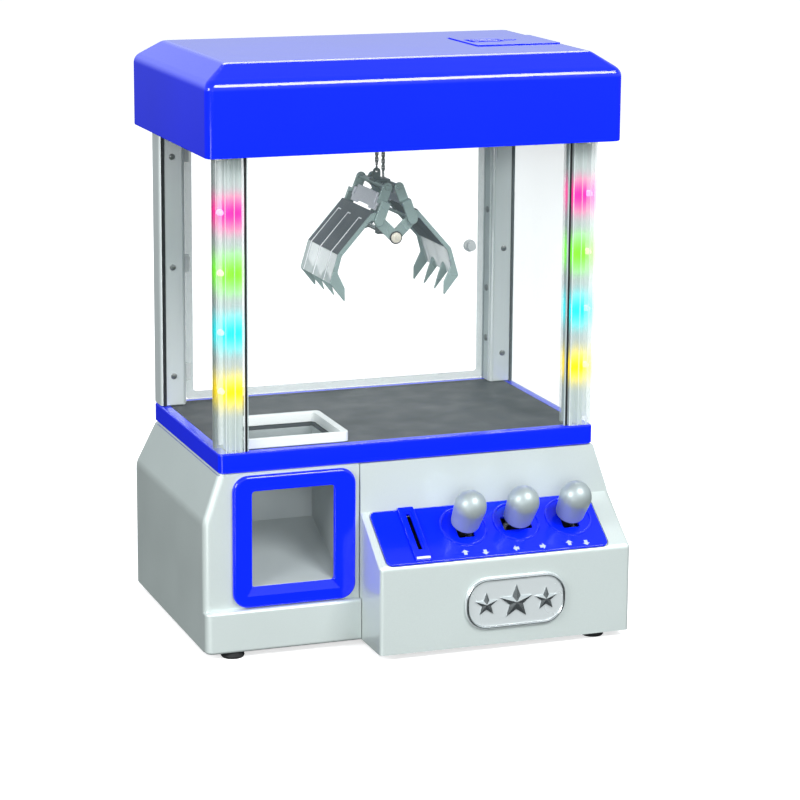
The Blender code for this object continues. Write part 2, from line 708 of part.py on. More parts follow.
def build_windows():
    low, high = WAIST_TOP + GAP, CHAMBER_TOP
    inner = WAIST_W / 2 - POST - 0.2 - GAP
    front = WAIST_FRONT + 2.0
    node("window_front", "clear_plastic", Shape().box((-inner, front, low), (inner, front + GLAZING, high)))
    y_low, y_high = WAIST_FRONT + POST + GAP, WAIST_BACK - POST - GAP
    edge = WAIST_W / 2 - 2.0
    for label, side in (("left", -1), ("right", 1)):
        x_pair = sorted((side * edge, side * (edge - GLAZING)))
        pane = Shape().box((x_pair[0], y_low, low), (x_pair[1], y_high, high))
        node(f"window_{label}", "clear_plastic", pane)


def build_loading_door():
    """The clear back panel, hinged beside the left back post."""
    axis = (-(WAIST_W / 2 - POST) + 1.8, WAIST_BACK - 0.9)
    right = WAIST_W / 2 - POST - 0.2 - 2 * GAP - axis[0]
    low, high = WAIST_TOP + 1.0, CHAMBER_TOP - 0.6
    panel = Shape().box((1.0, -6.4, low), (right, -5.0, high))
    fittings = Shape()
    for z in (150.0, 222.0, 294.0):
        fittings.rod((0.0, 0.0, z - 6.0), (0.0, 0.0, z + 6.0), 1.3, sides=12)
        fittings.prism([(-0.9, 0.2), (0.9, 0.6), (4.4, -5.2), (1.2, -6.2)], "Z", z - 5.6, z + 5.6)
    fittings.rod((right - 9.0, -6.0, 222.0), (right - 9.0, 1.4, 222.0), 4.2, sides=16)
    node("loading_door", "clear_plastic", panel, add=fittings, frame=at(*axis))


# ---------------------------------------------------------------- canopy and gantry


def canopy_outline(inset, extra):
    half = CABINET_W / 2 - inset - extra
    deep = CANOPY_HALF_D - inset - extra
    return rounded_rectangle((-half, -deep), (half, deep), 5.0 - inset * 0.8)


def build_canopy_shell():
    """A shell with a chamfer all round its flat top, and a recess for the battery door."""
    outer = Shape().loft(
        [
            (canopy_outline(0.0, 0.0), CANOPY_BOTTOM),
            (canopy_outline(0.0, 0.0), CANOPY_RIM),
            (canopy_outline(0.0, CANOPY_INSET), CABINET_H),
        ]
    )
    hollow = Shape().loft(
        [
            (canopy_outline(WALL, 0.0), CANOPY_BOTTOM - 2.0),
            (canopy_outline(WALL, 0.0), CANOPY_RIM - 1.2),
            (canopy_outline(WALL, CANOPY_INSET), CABINET_H - ROOF_T),
        ]
    )
    made = node("canopy_shell", "blue_gloss", outer, cut=hollow)
    recess = Shape()
    low = (BATTERY_X[0] - 0.8, BATTERY_Y[0] - GAP, CABINET_H - 1.6)
    recess.box(low, (124.0, BATTERY_Y[1] + GAP, CABINET_H + 4.0))
    cutter(made, recess, "DIFFERENCE", "recess")
    low, high = (BATTERY_X[0] + 3.0, BATTERY_Y[0] + 3.0), (BATTERY_X[1] - 4.8, BATTERY_Y[1] - 3.0)
    well = Shape().box((*low, 350.0), (*high, CABINET_H + 2.0))
    cutter(made, well, "DIFFERENCE", "well")


def build_battery_door():
    low, high = CABINET_H - 1.3, CABINET_H
    plate = Shape().box((BATTERY_X[0] - 0.5, BATTERY_Y[0], low), (BATTERY_X[1], BATTERY_Y[1], high))
    ridges = Shape()
    for index in range(3):
        y = -4.0 + 4.0 * index
        ridges.box((66.0, y, low + 0.4), (85.0, y + 1.4, high + 0.3))
    node("battery_door", "blue_gloss", plate, add=ridges)


def build_battery_box():
    """An open box under the battery door, for three small cells side by side."""
    top = CABINET_H - ROOF_T - GAP
    outer = Shape().box((BATTERY_X[0], BATTERY_Y[0] - 0.5, 347.0), (116.0, BATTERY_Y[1] + 0.5, top))
    cells = Shape()
    for index in range(3):
        y = -16.0 + 17.0 * index
        cells.box((62.6, y - 7.9, 349.0), (114.4, y + 7.9, top + 4.0))
    node("battery_box", "black_plastic", outer, cut=cells)


def build_canopy_ceiling():
    half = CABINET_W / 2 - WALL - GAP
    deep = CANOPY_HALF_D - WALL - GAP
    outline = rounded_rectangle((-half, -deep), (half, deep), 2.6)
    plate = Shape().prism(outline, "Z", CEILING_Z, CEILING_Z + 2.0)
    opening = Shape().box((-86.0, -48.0, 300.0), (86.0, 54.0, 330.0))
    node("canopy_ceiling", "black_plastic", plate, cut=opening)


def build_gantry_rails():
    for label, side in (("left", -1), ("right", 1)):
        x_pair = sorted((side * RAIL_X[0], side * RAIL_X[1]))
        rail = Shape().box((x_pair[0], -52.0, CEILING_Z + 2.0 + GAP), (x_pair[1], 68.0, RAIL_TOP))
        node(f"gantry_rail_{label}", "grey_plastic", rail)


def build_bridge():
    """A frame across the rails, with a shoe at each front corner and an axle behind."""
    low, high = BRIDGE_Z
    ring = Shape().box((-90.0, -17.0, low), (90.0, 17.0, high))
    extra = Shape()
    for side in (-1, 1):
        ear = sorted((side * 83.8, side * 89.9))
        extra.box((ear[0], 15.0, low + 0.1), (ear[1], 27.0, high - 0.1))
        shoe = sorted((side * 88.0, side * 98.6))
        extra.box((shoe[0], -16.0, RAIL_TOP + GAP), (shoe[1], -9.0, high - 2.0))
    opening = Shape().box((-83.8, -12.9, low - 2.0), (83.8, 12.9, high + 2.0))
    opening.rod((-95.0, AXLE_Y, AXLE_Z), (95.0, AXLE_Y, AXLE_Z), 1.7)
    frame = node("bridge_beam", "grey_plastic", ring, add=extra, cut=opening)
    motor = Shape().box((56.0, 17.4, 331.5), (83.0, 33.0, 343.0))
    can = Shape().rod((40.0, 25.0, 337.4), (57.0, 25.0, 337.4), 5.2)
    drive = node("bridge_motor", "gear_white", motor, add=can)
    wheels = Shape()
    for side in (-1, 1):
        wheels.rod((side * 92.6, 0.0, 0.0), (side * 98.8, 0.0, 0.0), WHEEL_R, sides=24)
    shaft = Shape().rod((-98.0, 0.0, 0.0), (98.0, 0.0, 0.0), 1.5)
    axle = node("bridge_axle", "steel", shaft, add=wheels, frame=at(0.0, AXLE_Y, AXLE_Z))
    return frame, drive, axle


def build_trolley():
    """Runs along the bridge and carries the winch over the claw's chains."""
    deck = BRIDGE_Z[1] + GAP
    plate = Shape().box((-11.0, -17.0, deck), (21.0, 17.0, deck + 2.0))
    extra = Shape().box((-9.0, -12.4, 321.0), (19.0, 12.4, deck + 0.5))
    for side in (-1, 1):
        wall = sorted((side * 7.2, side * 8.8))
        extra.box((CLAW_X - 5.0, wall[0], deck + 1.0), (CLAW_X + 5.0, wall[1], 343.5))
    cuts = Shape().box((CLAW_X - 5.0, -3.0, 310.0), (CLAW_X + 5.0, 3.0, 336.5))
    cuts.box((-7.0, -10.4, 318.0), (17.0, 10.4, 331.5))
    cuts.rod((CLAW_X, -12.0, DRUM_Z), (CLAW_X, 12.0, DRUM_Z), 1.7)
    housing = node("trolley_housing", "grey_plastic", plate, add=extra, cut=cuts)
    gearbox = Shape().box((-6.0, -16.6, deck + 2.0 + GAP), (16.0, -10.6, 345.0))
    can = Shape().rod((CLAW_X + 8.0, -13.6, 340.0), (CLAW_X + 26.0, -13.6, 340.0), 3.8)
    motor = node("winch_motor", "gear_white", gearbox, add=can)
    reach = 8.9
    profile = [(0.0, reach), (1.5, reach), (1.5, 6.6), (5.2, 6.6), (5.2, 5.4), (3.6, 5.4), (3.6, -5.4)]
    profile += [(5.2, -5.4), (5.2, -6.6), (1.5, -6.6), (1.5, -reach), (0.0, -reach)]
    lying = at(CLAW_X, 0.0, DRUM_Z) @ Matrix.Rotation(math.pi / 2, 4, "X")
    drum = turned("winch_drum", "gear_white", profile, lying, steps=20)
    return housing, motor, drum


def build_chains():
    """The two chains from the winch, as plain rods of the chains' outer size."""
    made = []
    for name, x, bottom in (
        ("hoist_chain", CLAW_X - CHAIN_OFFSET, CLAW_Z + 42.4),
        ("closing_chain", CLAW_X + CHAIN_OFFSET, CLAW_Z + 37.0),
    ):
        rod = Shape().rod((x, 0.0, bottom), (x, 0.0, CHAIN_TOP), 0.9, sides=10)
        made.append(node(name, "steel", rod))
    return made


# ---------------------------------------------------------------- claw


def build_claw_head():
    """The top block with the two rods that the links swing on, and the chain's eye."""
    x, z = HEAD_PIN
    block = Shape().box((-5.4, -5.6, z - 2.4), (5.4, 5.6, z + 2.4))
    extra = Shape().box((-x, 1.0 - EAR_Y[0], z - 0.9), (x, EAR_Y[0] - 1.0, z + 0.9))
    reach = EAR_Y[1] + 0.6
    for side in (-1, 1):
        extra.rod((side * x, -reach, z), (side * x, reach, z), 1.6)
    eye = capsule((-CHAIN_OFFSET, z + 1.0), (-CHAIN_OFFSET, z + 7.6), 3.0)
    extra.prism(eye, "Y", -1.2, 1.2)
    cuts = Shape().rod((-CHAIN_OFFSET, -4.0, z + 7.6), (-CHAIN_OFFSET, 4.0, z + 7.6), 1.5)
    cuts.rod((CHAIN_OFFSET, 0.0, z - 8.0), (CHAIN_OFFSET, 0.0, z + 8.0), 1.1)
    return node("claw_head", "claw_plastic", block, add=extra, cut=cuts, frame=at(CLAW_X, 0.0, CLAW_Z))


def build_claw_pivot():
    """The lower shaft that both jaws turn on, with the rod that the closing chain lifts."""
    shaft = Shape().rod((0.0, -31.0, 0.0), (0.0, 31.0, 0.0), 1.5)
    extra = Shape()
    for side in (-1, 1):
        extra.rod((0.0, side * 30.4, 0.0), (0.0, side * 31.8, 0.0), 3.4, sides=20)
    extra.box((-2.4, -2.6, -2.4), (3.8, 2.6, 3.6))
    extra.rod((CHAIN_OFFSET, 0.0, 3.0), (CHAIN_OFFSET, 0.0, 36.6), 0.8, sides=10)
    return node("claw_pivot", "gear_white", shaft, add=extra, frame=at(CLAW_X, 0.0, CLAW_Z))


def jaw_cheek(side):
    """Side plate of a jaw: from the pivot's eye, past the shoulder, down to the tooth's tip."""
    outline = [
        (0.0, -3.4),
        (3.0, -2.0),
        (14.5, 6.0),
        (32.6, -12.6),
        (36.6, -26.0),
        (32.6, -33.0),
        JAW_TIP,
        JAW_BACK[2],
        JAW_BACK[1],
        JAW_BACK[0],
        (10.4, 14.6),
        (8.2, 10.8),
        (-2.0, 2.8),
        (-3.4, 0.0),
    ]
    return mirrored(outline, side)


def build_jaw(label, side):
    half_width = JAW_HALF_WIDTH[label]
    sheet = mirrored(thick_line(JAW_BACK, JAW_SHEET), side)
    back = Shape().prism(sheet, "Y", -half_width + 0.2, half_width - 0.2)
    extra = Shape()
    for end in (-1, 1):
        y_pair = sorted((end * half_width, end * (half_width - JAW_SHEET)))
        extra.prism(jaw_cheek(side), "Y", *y_pair)
    tooth = mirrored([(42.6, -25.0), (38.0, -21.0), (37.4, -29.0), JAW_TIP, (43.4, -27.4)], side)
    for share in (-1 / 3, 1 / 3):
        y = half_width * share
        extra.prism(tooth, "Y", y - JAW_SHEET / 2, y + JAW_SHEET / 2)
    shoulder = (side * SHOULDER[0], SHOULDER[1])
    reach = half_width + PIN_REACH
    extra.rod((shoulder[0], -reach, shoulder[1]), (shoulder[0], reach, shoulder[1]), PIN_R, sides=12)
    hole = Shape().rod((0.0, -40.0, 0.0), (0.0, 40.0, 0.0), 1.5 + RUNNING)
    return node(f"{label}_jaw", "claw_plastic", back, add=extra, cut=hole, frame=at(CLAW_X, 0.0, CLAW_Z))


def build_link(label, side):
    """A yoke from the head's rod to the jaw's shoulder: a notched plate between two stepped ears.

    Each ear hangs on the rod inside the jaw's cheek, then steps over a shelf to the cheek's outer side.
    """
    end = (SHOULDER[0] - HEAD_PIN[0], SHOULDER[1] - HEAD_PIN[1])
    length = math.hypot(*end)
    run = (end[0] / length, end[1] / length)

    def along(distance, offset):
        return (run[0] * distance - run[1] * offset, run[1] * distance + run[0] * offset)

    def strip(near, far, low, high):
        return mirrored([along(near, low), along(far, low), along(far, high), along(near, high)], side)

    plate = Shape().prism(strip(4.6, 16.0, 1.2, 2.6), "Y", -EAR_Y[0] - 0.6, EAR_Y[0] + 0.6)
    upper_ear = mirrored(capsule((0.0, 0.0), along(SHELF[1] - EAR_R, 0.0), EAR_R), side)
    round_end = capsule((0.0, 0.0), end, EAR_R)
    round_end = round_end[len(round_end) // 2 :]
    lower_ear = mirrored([along(SHELF[0], -EAR_R), *round_end, along(SHELF[0], EAR_R)], side)
    outer = [JAW_HALF_WIDTH[label] + step for step in OUTER_EAR]
    ears = Shape()
    holes = Shape().rod((0.0, -30.0, 0.0), (0.0, 30.0, 0.0), 1.6 + RUNNING)
    for ear in (-1, 1):
        ears.prism(upper_ear, "Y", *sorted((ear * EAR_Y[0], ear * EAR_Y[1])))
        ears.prism(lower_ear, "Y", *sorted((ear * outer[0], ear * outer[1])))
        ears.prism(strip(*SHELF, -EAR_R, EAR_R), "Y", *sorted((ear * EAR_Y[0], ear * outer[1])))
        holes.prism(strip(7.6, 12.0, -2.9, 5.0), "Y", *sorted((ear * 19.0, ear * 21.6)))
        pin = (side * end[0], ear * (outer[0] - 1.0), end[1])
        holes.rod(pin, (pin[0], ear * (outer[0] + PIN_REACH), pin[2]), PIN_HOLE_R)
    frame = at(CLAW_X + side * HEAD_PIN[0], 0.0, CLAW_Z + HEAD_PIN[1])
    return node(f"{label}_link", "claw_plastic", plate, add=ears, cut=holes, frame=frame)


def build_moving_gantry():
    beam, motor, axle = build_bridge()
    housing, winch, drum = build_trolley()
    chains = build_chains()
    head = build_claw_head()
    pivot = build_claw_pivot()
    jaws = [build_jaw("right", 1), build_jaw("left", -1)]
    links = [build_link("right", 1), build_link("left", -1)]
    bridge = joint_empty("bridge_slide", at(0.0, 0.0, RAIL_TOP))
    trolley = joint_empty("trolley_slide", at(CLAW_X, 0.0, BRIDGE_Z[1]))
    claw = joint_empty("claw_hoist", at(CLAW_X, 0.0, CHAIN_TOP))
    attach([beam, motor, axle, trolley], bridge)
    attach([housing, winch, drum, claw, *chains], trolley)
    attach([head], claw)
    attach([pivot, *links], head)
    attach(jaws, pivot)


clear_scene()
PARTS = new_collection("claw_crane_machine")
CUTTERS = new_collection("cutters")
CUTTERS.hide_render = True
build_base_housing()
build_console_housing()
build_base_plate()
build_feet()
build_waist_frame()
build_play_floor()
build_chute_collar()
build_prize_chute()
build_prize_bezel()
build_control_panel()
build_coin_slot_bezel()
build_coin_chute()
build_coin_lever()
build_lever_bracket()
build_levers()
build_emblem()
build_electronics()
build_power_switch()
build_coin_drawer()
build_posts()
build_windows()
build_loading_door()
build_canopy_shell()
build_battery_door()
build_battery_box()
build_canopy_ceiling()
build_gantry_rails()
build_moving_gantry()
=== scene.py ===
"""Looks for the claw crane machine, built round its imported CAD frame.

Sizes are in millimetres, in the cabinet's own axes: X to the operator's right, Y to the back from the middle
of the play chamber, Z up from the table. A piece is made there and then moved onto the frame by CHAMBER.
"""
import json
import math

import bmesh
import bpy
from mathutils import Matrix, Vector

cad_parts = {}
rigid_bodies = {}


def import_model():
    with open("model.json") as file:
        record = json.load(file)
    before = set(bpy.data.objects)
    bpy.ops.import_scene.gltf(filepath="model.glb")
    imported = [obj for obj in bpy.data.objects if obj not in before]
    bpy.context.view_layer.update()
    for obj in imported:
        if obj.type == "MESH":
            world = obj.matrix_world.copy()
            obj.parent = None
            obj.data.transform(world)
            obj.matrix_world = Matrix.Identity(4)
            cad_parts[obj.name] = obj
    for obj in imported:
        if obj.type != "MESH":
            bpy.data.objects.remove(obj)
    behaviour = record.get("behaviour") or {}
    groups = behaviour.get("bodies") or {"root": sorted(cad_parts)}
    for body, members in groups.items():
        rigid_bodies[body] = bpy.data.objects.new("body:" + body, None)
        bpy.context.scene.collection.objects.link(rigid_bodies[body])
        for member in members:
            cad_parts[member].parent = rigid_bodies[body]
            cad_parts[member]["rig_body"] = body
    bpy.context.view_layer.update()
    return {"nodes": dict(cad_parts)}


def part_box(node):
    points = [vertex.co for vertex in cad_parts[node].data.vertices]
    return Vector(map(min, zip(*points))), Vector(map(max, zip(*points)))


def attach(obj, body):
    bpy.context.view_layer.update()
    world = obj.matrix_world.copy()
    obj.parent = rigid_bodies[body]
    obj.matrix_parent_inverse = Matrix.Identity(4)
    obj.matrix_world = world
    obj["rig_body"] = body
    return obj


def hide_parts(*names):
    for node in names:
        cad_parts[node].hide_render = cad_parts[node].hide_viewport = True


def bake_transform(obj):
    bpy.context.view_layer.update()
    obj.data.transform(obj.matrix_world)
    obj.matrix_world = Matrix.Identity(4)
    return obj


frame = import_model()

MM = 0.001
CHAMBER = Vector((0.0, 10.45, 0.0))

# Camera and lights. A light has a name, place, size and power.
CAMERA_AIM = (0.0, 0.0, 180.0)
CAMERA_DISTANCE = 1774.3
CAMERA_TURN = math.radians(-19.59)
CAMERA_RISE = math.radians(11.94)
CAMERA_ROLL = math.radians(0.28)
CAMERA_LENS = 124.24
CAMERA_SHIFT = (0.0354, -0.0779)
LIGHT_AIM = Vector((0.0, 0.0, 190.0))
LIGHTS = (
    ("key", (640.0, -1600.0, 1620.0), 850.0, 41.0),
    ("front", (-350.0, -1950.0, 520.0), 700.0, 17.0),
    ("fill", (-1700.0, -800.0, 900.0), 700.0, 24.0),
    ("low_card", (-1450.0, -1700.0, -260.0), 600.0, 4.5),
    ("back", (520.0, 1500.0, 1780.0), 1200.0, 19.0),
)

# Cabinet.
CORNER = 4.5
WALL = 2.4
SHOULDER_Z = 87.0
PLINTH_TOP = 31.0
CANOPY_RIM = 356.9
CANOPY_INSET = 15.8
SLOPE_TOP = (0.0, -74.35, 85.9)
SLOPE_FOOT = (0.0, -111.8, 60.1)
SLOPE_ANGLE = math.atan2(SLOPE_TOP[2] - SLOPE_FOOT[2], SLOPE_TOP[1] - SLOPE_FOOT[1])
SLOPE_LENGTH = math.hypot(SLOPE_TOP[1] - SLOPE_FOOT[1], SLOPE_TOP[2] - SLOPE_FOOT[2])
CONSOLE_TOP_Y = -73.1
CONSOLE_ROUND = 2.4
PORT_LOW = (-103.7, 44.5)
PORT_HIGH = (-50.5, 105.6)
LIP_DROP = 8.2
LIP_SPLAY = 5.2
PANEL_TOP = 0.9
LEVER_X = (29.0, 64.4, 99.8)
LEVER_Y = -19.6
LEVER_PIVOT = -12.0
LED_Z = (168.0, 204.5, 241.0, 278.0)
LED_NAMES = ("yellow", "cyan", "green", "magenta")
LED_COLOURS = ((1.0, 0.80, 0.02), (0.04, 0.86, 0.90), (0.28, 1.0, 0.06), (1.0, 0.05, 0.42))
HINGE_Z = (150.0, 222.0, 294.0)
FEET = ("front_left", "front_right", "back_left", "back_right")

# Claw, measured from the shaft that both jaws turn on.
CLAW = Vector((5.0, 0.0, 250.0))
HEAD_PIN = (4.0, 31.0)
SHOULDER = (11.5, 11.0)
PIN_R = 1.1
PIN_HOLE_R = 2.05
PIN_REACH = 1.2
ROD_PASSAGE_R = 1.1
EAR_R = 3.2
EAR_Y = (24.0, 25.6)
OUTER_EAR = (0.3, 2.3)
SHELF = (8.6, 10.8)
JAW_BACK = ((15.0, 17.2), (38.2, -9.0), (43.5, -27.0))
JAW_TIP = (33.5, -39.5)
JAW_HALF_WIDTH = {"left": 30.0, "right": 28.2}
CHAIN_OFFSET = 2.2
CHAIN_PITCH = 2.05
CHAIN_WIRE = 0.36
CHEEK = (
    (43.5, -27.0, 0.5),
    (38.2, -9.0, 1.2),
    (15.0, 17.2, 3.0),
    (9.8, 14.6, 3.0),
    (-2.6, 2.6, 2.6),
    (-2.4, -3.2, 2.4),
    (2.4, -2.8, 2.4),
    (13.0, 7.6, 2.0),
    (15.4, 12.6, 1.6),
    (35.6, -10.2, 2.0),
    (38.4, -20.5, 2.2),
    (33.6, -30.5, 1.6),
    (*JAW_TIP, 0.4),
)
FIN = ((42.8, -25.6, 0.0), (39.6, -20.5, 0.6), (36.6, -29.0, 0.8), (*JAW_TIP, 0.3), (43.3, -27.2, 0.3))

# Frames that turn flat work to face along an axis: its own x and y, then its thickness.
FLAT = Matrix.Identity(4)
FACING_FRONT = Matrix(((1, 0, 0, 0), (0, 0, -1, 0), (0, 1, 0, 0), (0, 0, 0, 1)))
FACING_RIGHT = Matrix(((0, 0, 1, 0), (1, 0, 0, 0), (0, 1, 0, 0), (0, 0, 0, 1)))
SLOPE = Matrix.Translation(SLOPE_TOP) @ Matrix.Rotation(SLOPE_ANGLE, 4, "X")
AT_CLAW = Matrix.Translation(CLAW)


def box(node):
    """Lowest and highest corner of a CAD node, in millimetres from the chamber's middle."""
    low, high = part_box(node)
    return low / MM - CHAMBER, high / MM - CHAMBER


# ---------------------------------------------------------------- materials


class Finish:
    """A procedural material: a Principled shader with what varies over its surface."""

    def __init__(self, name, colour, roughness, metallic=0.0, **sockets):
        self.material = bpy.data.materials.new(name)
        self.material.use_nodes = True
        self.nodes = self.material.node_tree.nodes
        self.links = self.material.node_tree.links
        self.shader = self.nodes["Principled BSDF"]
        self.colour = colour
        self.set(**{"Base Color": (*colour, 1.0), "Roughness": roughness, "Metallic": metallic})
        self.set(**sockets)
        self.place = self.nodes.new("ShaderNodeTexCoord").outputs["Object"]

    def set(self, **sockets):
        for socket, value in sockets.items():
            self.shader.inputs[socket.replace("_", " ")].default_value = value

    def noise(self, scale, detail=3.0, stretch=None):
        """A noise of about 1/scale metres, drawn out along an axis by stretch."""
        made = self.nodes.new("ShaderNodeTexNoise")
        made.inputs["Scale"].default_value = scale
        made.inputs["Detail"].default_value = detail
        place = self.place
        if stretch:
            mapping = self.nodes.new("ShaderNodeMapping")
            mapping.inputs["Scale"].default_value = stretch
            self.links.new(place, mapping.inputs["Vector"])
            place = mapping.outputs["Vector"]
        self.links.new(place, made.inputs["Vector"])
        return made.outputs["Fac"]

    def ranged(self, value, low, high, from_low=0.3, from_high=0.7):
        made = self.nodes.new("ShaderNodeMapRange")
        for socket, number in zip(made.inputs[1:5], (from_low, from_high, low, high)):
            socket.default_value = number
        self.links.new(value, made.inputs[0])
        return made.outputs[0]

    def mixed(self, value, first, second):
        made = self.nodes.new("ShaderNodeMix")
        made.data_type = "RGBA"
        made.inputs["A"].default_value = (*first, 1.0)
        made.inputs["B"].default_value = (*second, 1.0)
        self.links.new(value, made.inputs["Factor"])
        return made.outputs["Result"]

    def vary_colour(self, scale, amount, stretch=None):
        """Colour that drifts lighter and darker by a share of itself."""
        darker = tuple(part * (1.0 - amount) for part in self.colour)
        lighter = tuple(min(1.0, part * (1.0 + amount)) for part in self.colour)
        drift = self.ranged(self.noise(scale, 4.0, stretch), 0.0, 1.0)
        self.links.new(self.mixed(drift, darker, lighter), self.shader.inputs["Base Color"])
        return self

    def vary_roughness(self, scale, low, high, stretch=None):
        value = self.ranged(self.noise(scale, 3.0, stretch), low, high)
        self.links.new(value, self.shader.inputs["Roughness"])
        return self

    def bump(self, scale, strength, depth, stretch=None):
        made = self.nodes.new("ShaderNodeBump")
        made.inputs["Strength"].default_value = strength
        made.inputs["Distance"].default_value = depth * MM
        self.links.new(self.noise(scale, 3.0, stretch), made.inputs["Height"])
        self.links.new(made.outputs["Normal"], self.shader.inputs["Normal"])
        return self

    def painted_glow_bands(self, between, reach):
        """Painted lamp glow up the post: each lamp's own colour near its height, and the one given between
        them.
        """
        parts = self.nodes.new("ShaderNodeSeparateXYZ")
        self.links.new(self.place, parts.inputs[0])
        low, high = LED_Z[0] - reach, LED_Z[-1] + reach
        height = self.ranged(parts.outputs["Z"], 0.0, 1.0, low * MM, high * MM)
        ramp = self.nodes.new("ShaderNodeValToRGB")
        ramp.color_ramp.interpolation = "EASE"
        self.links.new(height, ramp.inputs["Fac"])
        stops = ramp.color_ramp.elements
        stops[0].color = stops[1].color = (*between, 1.0)
        for z, colour in zip(LED_Z, LED_COLOURS):
            stops.new((z - low) / (high - low)).color = (*colour, 1.0)
        for first, second in zip(LED_Z, LED_Z[1:]):
            stops.new(((first + second) / 2 - low) / (high - low)).color = (*between, 1.0)
        return ramp.outputs["Color"]

    def painted_lamp_glow(self, strength, reach):
        """Painted light of the four lamps: glowing bands of their colour up the post, in the emission and the
        base colour.
        """
        self.links.new(self.painted_glow_bands((0.0, 0.0, 0.0), reach), self.shader.inputs["Emission Color"])
        self.links.new(self.painted_glow_bands(self.colour, reach), self.shader.inputs["Base Color"])
        self.set(Emission_Strength=strength)
        return self


def moulded(name, colour, roughness, grain=0.10, **sockets):
    """Moulded plastic: a faint grain, and slightly uneven colour and gloss."""
    made = Finish(name, colour, roughness, **sockets)
    made.vary_colour(14.0, 0.035)
    made.vary_roughness(45.0, roughness * 0.85, roughness * 1.2)
    return made.bump(2600.0, grain, 0.05).material


def painted_silver(name, colour, roughness, metallic, **sockets):
    """Silver lacquer on plastic, with the fine flake of its pigment."""
    made = Finish(name, colour, roughness, metallic, **sockets)
    made.vary_colour(4200.0, 0.055)
    made.vary_roughness(30.0, roughness * 0.9, roughness * 1.15)
    return made.bump(3200.0, 0.10, 0.04).material


def brushed_metal(name, colour, roughness, stretch=(1.0, 1.0, 0.04), metallic=1.0):
    """Drawn or plated metal with fine lines along one axis."""
    made = Finish(name, colour, roughness, metallic)
    made.vary_colour(260.0, 0.02, stretch)
    made.vary_roughness(300.0, roughness * 0.85, roughness * 1.2, stretch)
    return made.bump(900.0, 0.02, 0.01, stretch).material


def clear_pane(name, tint, alpha, roughness):
    """Clear sheet or lens: mostly see-through, with a skin that reflects."""
    made = Finish(name, tint, roughness, IOR=1.49, Alpha=alpha)
    made.vary_roughness(20.0, roughness * 0.6, roughness * 1.5)
    made.vary_colour(9.0, 0.03)
    return made.bump(35.0, 0.05, 0.10).material


def metal_with_painted_glow(name, colour, roughness, strength, reach):
    """An extruded section with the lamps' light painted on it as glowing bands of colour."""
    made = Finish(name, colour, roughness, 0.6)
    made.vary_roughness(30.0, roughness * 0.95, roughness * 1.1, (1.0, 1.0, 0.3))
    made.painted_lamp_glow(strength, reach)
    return made.bump(40.0, 0.02, 0.02, (1.0, 1.0, 0.1)).material


def lens_with_painted_glow(name, tint, alpha, roughness, strength, reach):
    """The clear cover of a lamp post, with the lamps' light painted on it as glowing bands of colour."""
    made = Finish(name, tint, roughness, IOR=1.49, Alpha=alpha)
    made.vary_roughness(25.0, roughness * 0.6, roughness * 1.5)
    made.painted_lamp_glow(strength, reach)
    return made.bump(60.0, 0.06, 0.10, (1.0, 1.0, 0.2)).material


def lamp(name, colour, strength):
    made = Finish(name, colour, 0.15, IOR=1.5)
    made.vary_roughness(300.0, 0.1, 0.25)
    made.set(Emission_Color=(*colour, 1.0), Emission_Strength=strength)
    return made.bump(500.0, 0.05, 0.05).material


BLUE = moulded(
    "blue_gloss_abs",
    (0.0020, 0.016, 0.92),
    0.10,
    0.004,
    Specular_IOR_Level=0.4,
    Coat_Weight=0.4,
    Coat_Roughness=0.04,
)
SILVER = painted_silver(
    "silver_lacquer", (0.585, 0.650, 0.636), 0.38, 0.28, Coat_Weight=0.8, Coat_Roughness=0.07
)
POST_METAL = brushed_metal("drawn_aluminium", (0.74, 0.80, 0.80), 0.32, metallic=0.45)
# The post section and its lens glow in bands of the lamps' colours: painted lamp light, for they are no
# lamps.
POST_PAINTED_GLOW = metal_with_painted_glow("aluminium_painted_glow", (0.76, 0.82, 0.81), 0.30, 0.34, 17.0)
POST_LENS = lens_with_painted_glow("lamp_post_lens_painted_glow", (0.62, 0.71, 0.69), 0.28, 0.08, 0.40, 17.0)
# Paler, denser clear for the lens ribs: the ribs are raised, and their colour is painted highlight lines.
LENS_RIB_PAINTED_HIGHLIGHT = clear_pane("lens_rib_painted_highlight", (0.80, 0.86, 0.86), 0.6, 0.12)
PANE = clear_pane("clear_pane", (0.50, 0.62, 0.64), 0.035, 0.03)
# A denser, greyer copy of the clear pane, used on the right window only: painted reflection for the grey
# sheen it shows at a slant.
PANE_PAINTED_SHEEN = clear_pane("pane_painted_sheen", (0.40, 0.50, 0.51), 0.22, 0.03)
PANE_EDGE = clear_pane("pane_edge", (0.62, 0.72, 0.72), 0.55, 0.1)
GREY = moulded("grey_plastic", (0.50, 0.53, 0.54), 0.4)
# A darker copy of the grey plastic for the prize chute: painted shade inside the prize opening.
CHUTE_PAINTED_SHADE = moulded("chute_grey_painted_shade", (0.31, 0.345, 0.35), 0.4)
PALE_GREY = moulded("pale_grey_plastic", (0.68, 0.71, 0.71), 0.38)
FLOOR_DARK = moulded("dark_play_floor", (0.030, 0.033, 0.038), 0.55, 0.2, Specular_IOR_Level=0.3)
BLACK = moulded("black_plastic", (0.012, 0.012, 0.014), 0.34)
RUBBER = moulded("black_rubber", (0.016, 0.016, 0.017), 0.72, 0.35)
CLAW_GREEN = moulded("grey_green_plastic", (0.29, 0.385, 0.372), 0.28, 0.04, Metallic=0.35)
CLAW_DARK = moulded("slate_plate", (0.038, 0.042, 0.058), 0.45, 0.1)
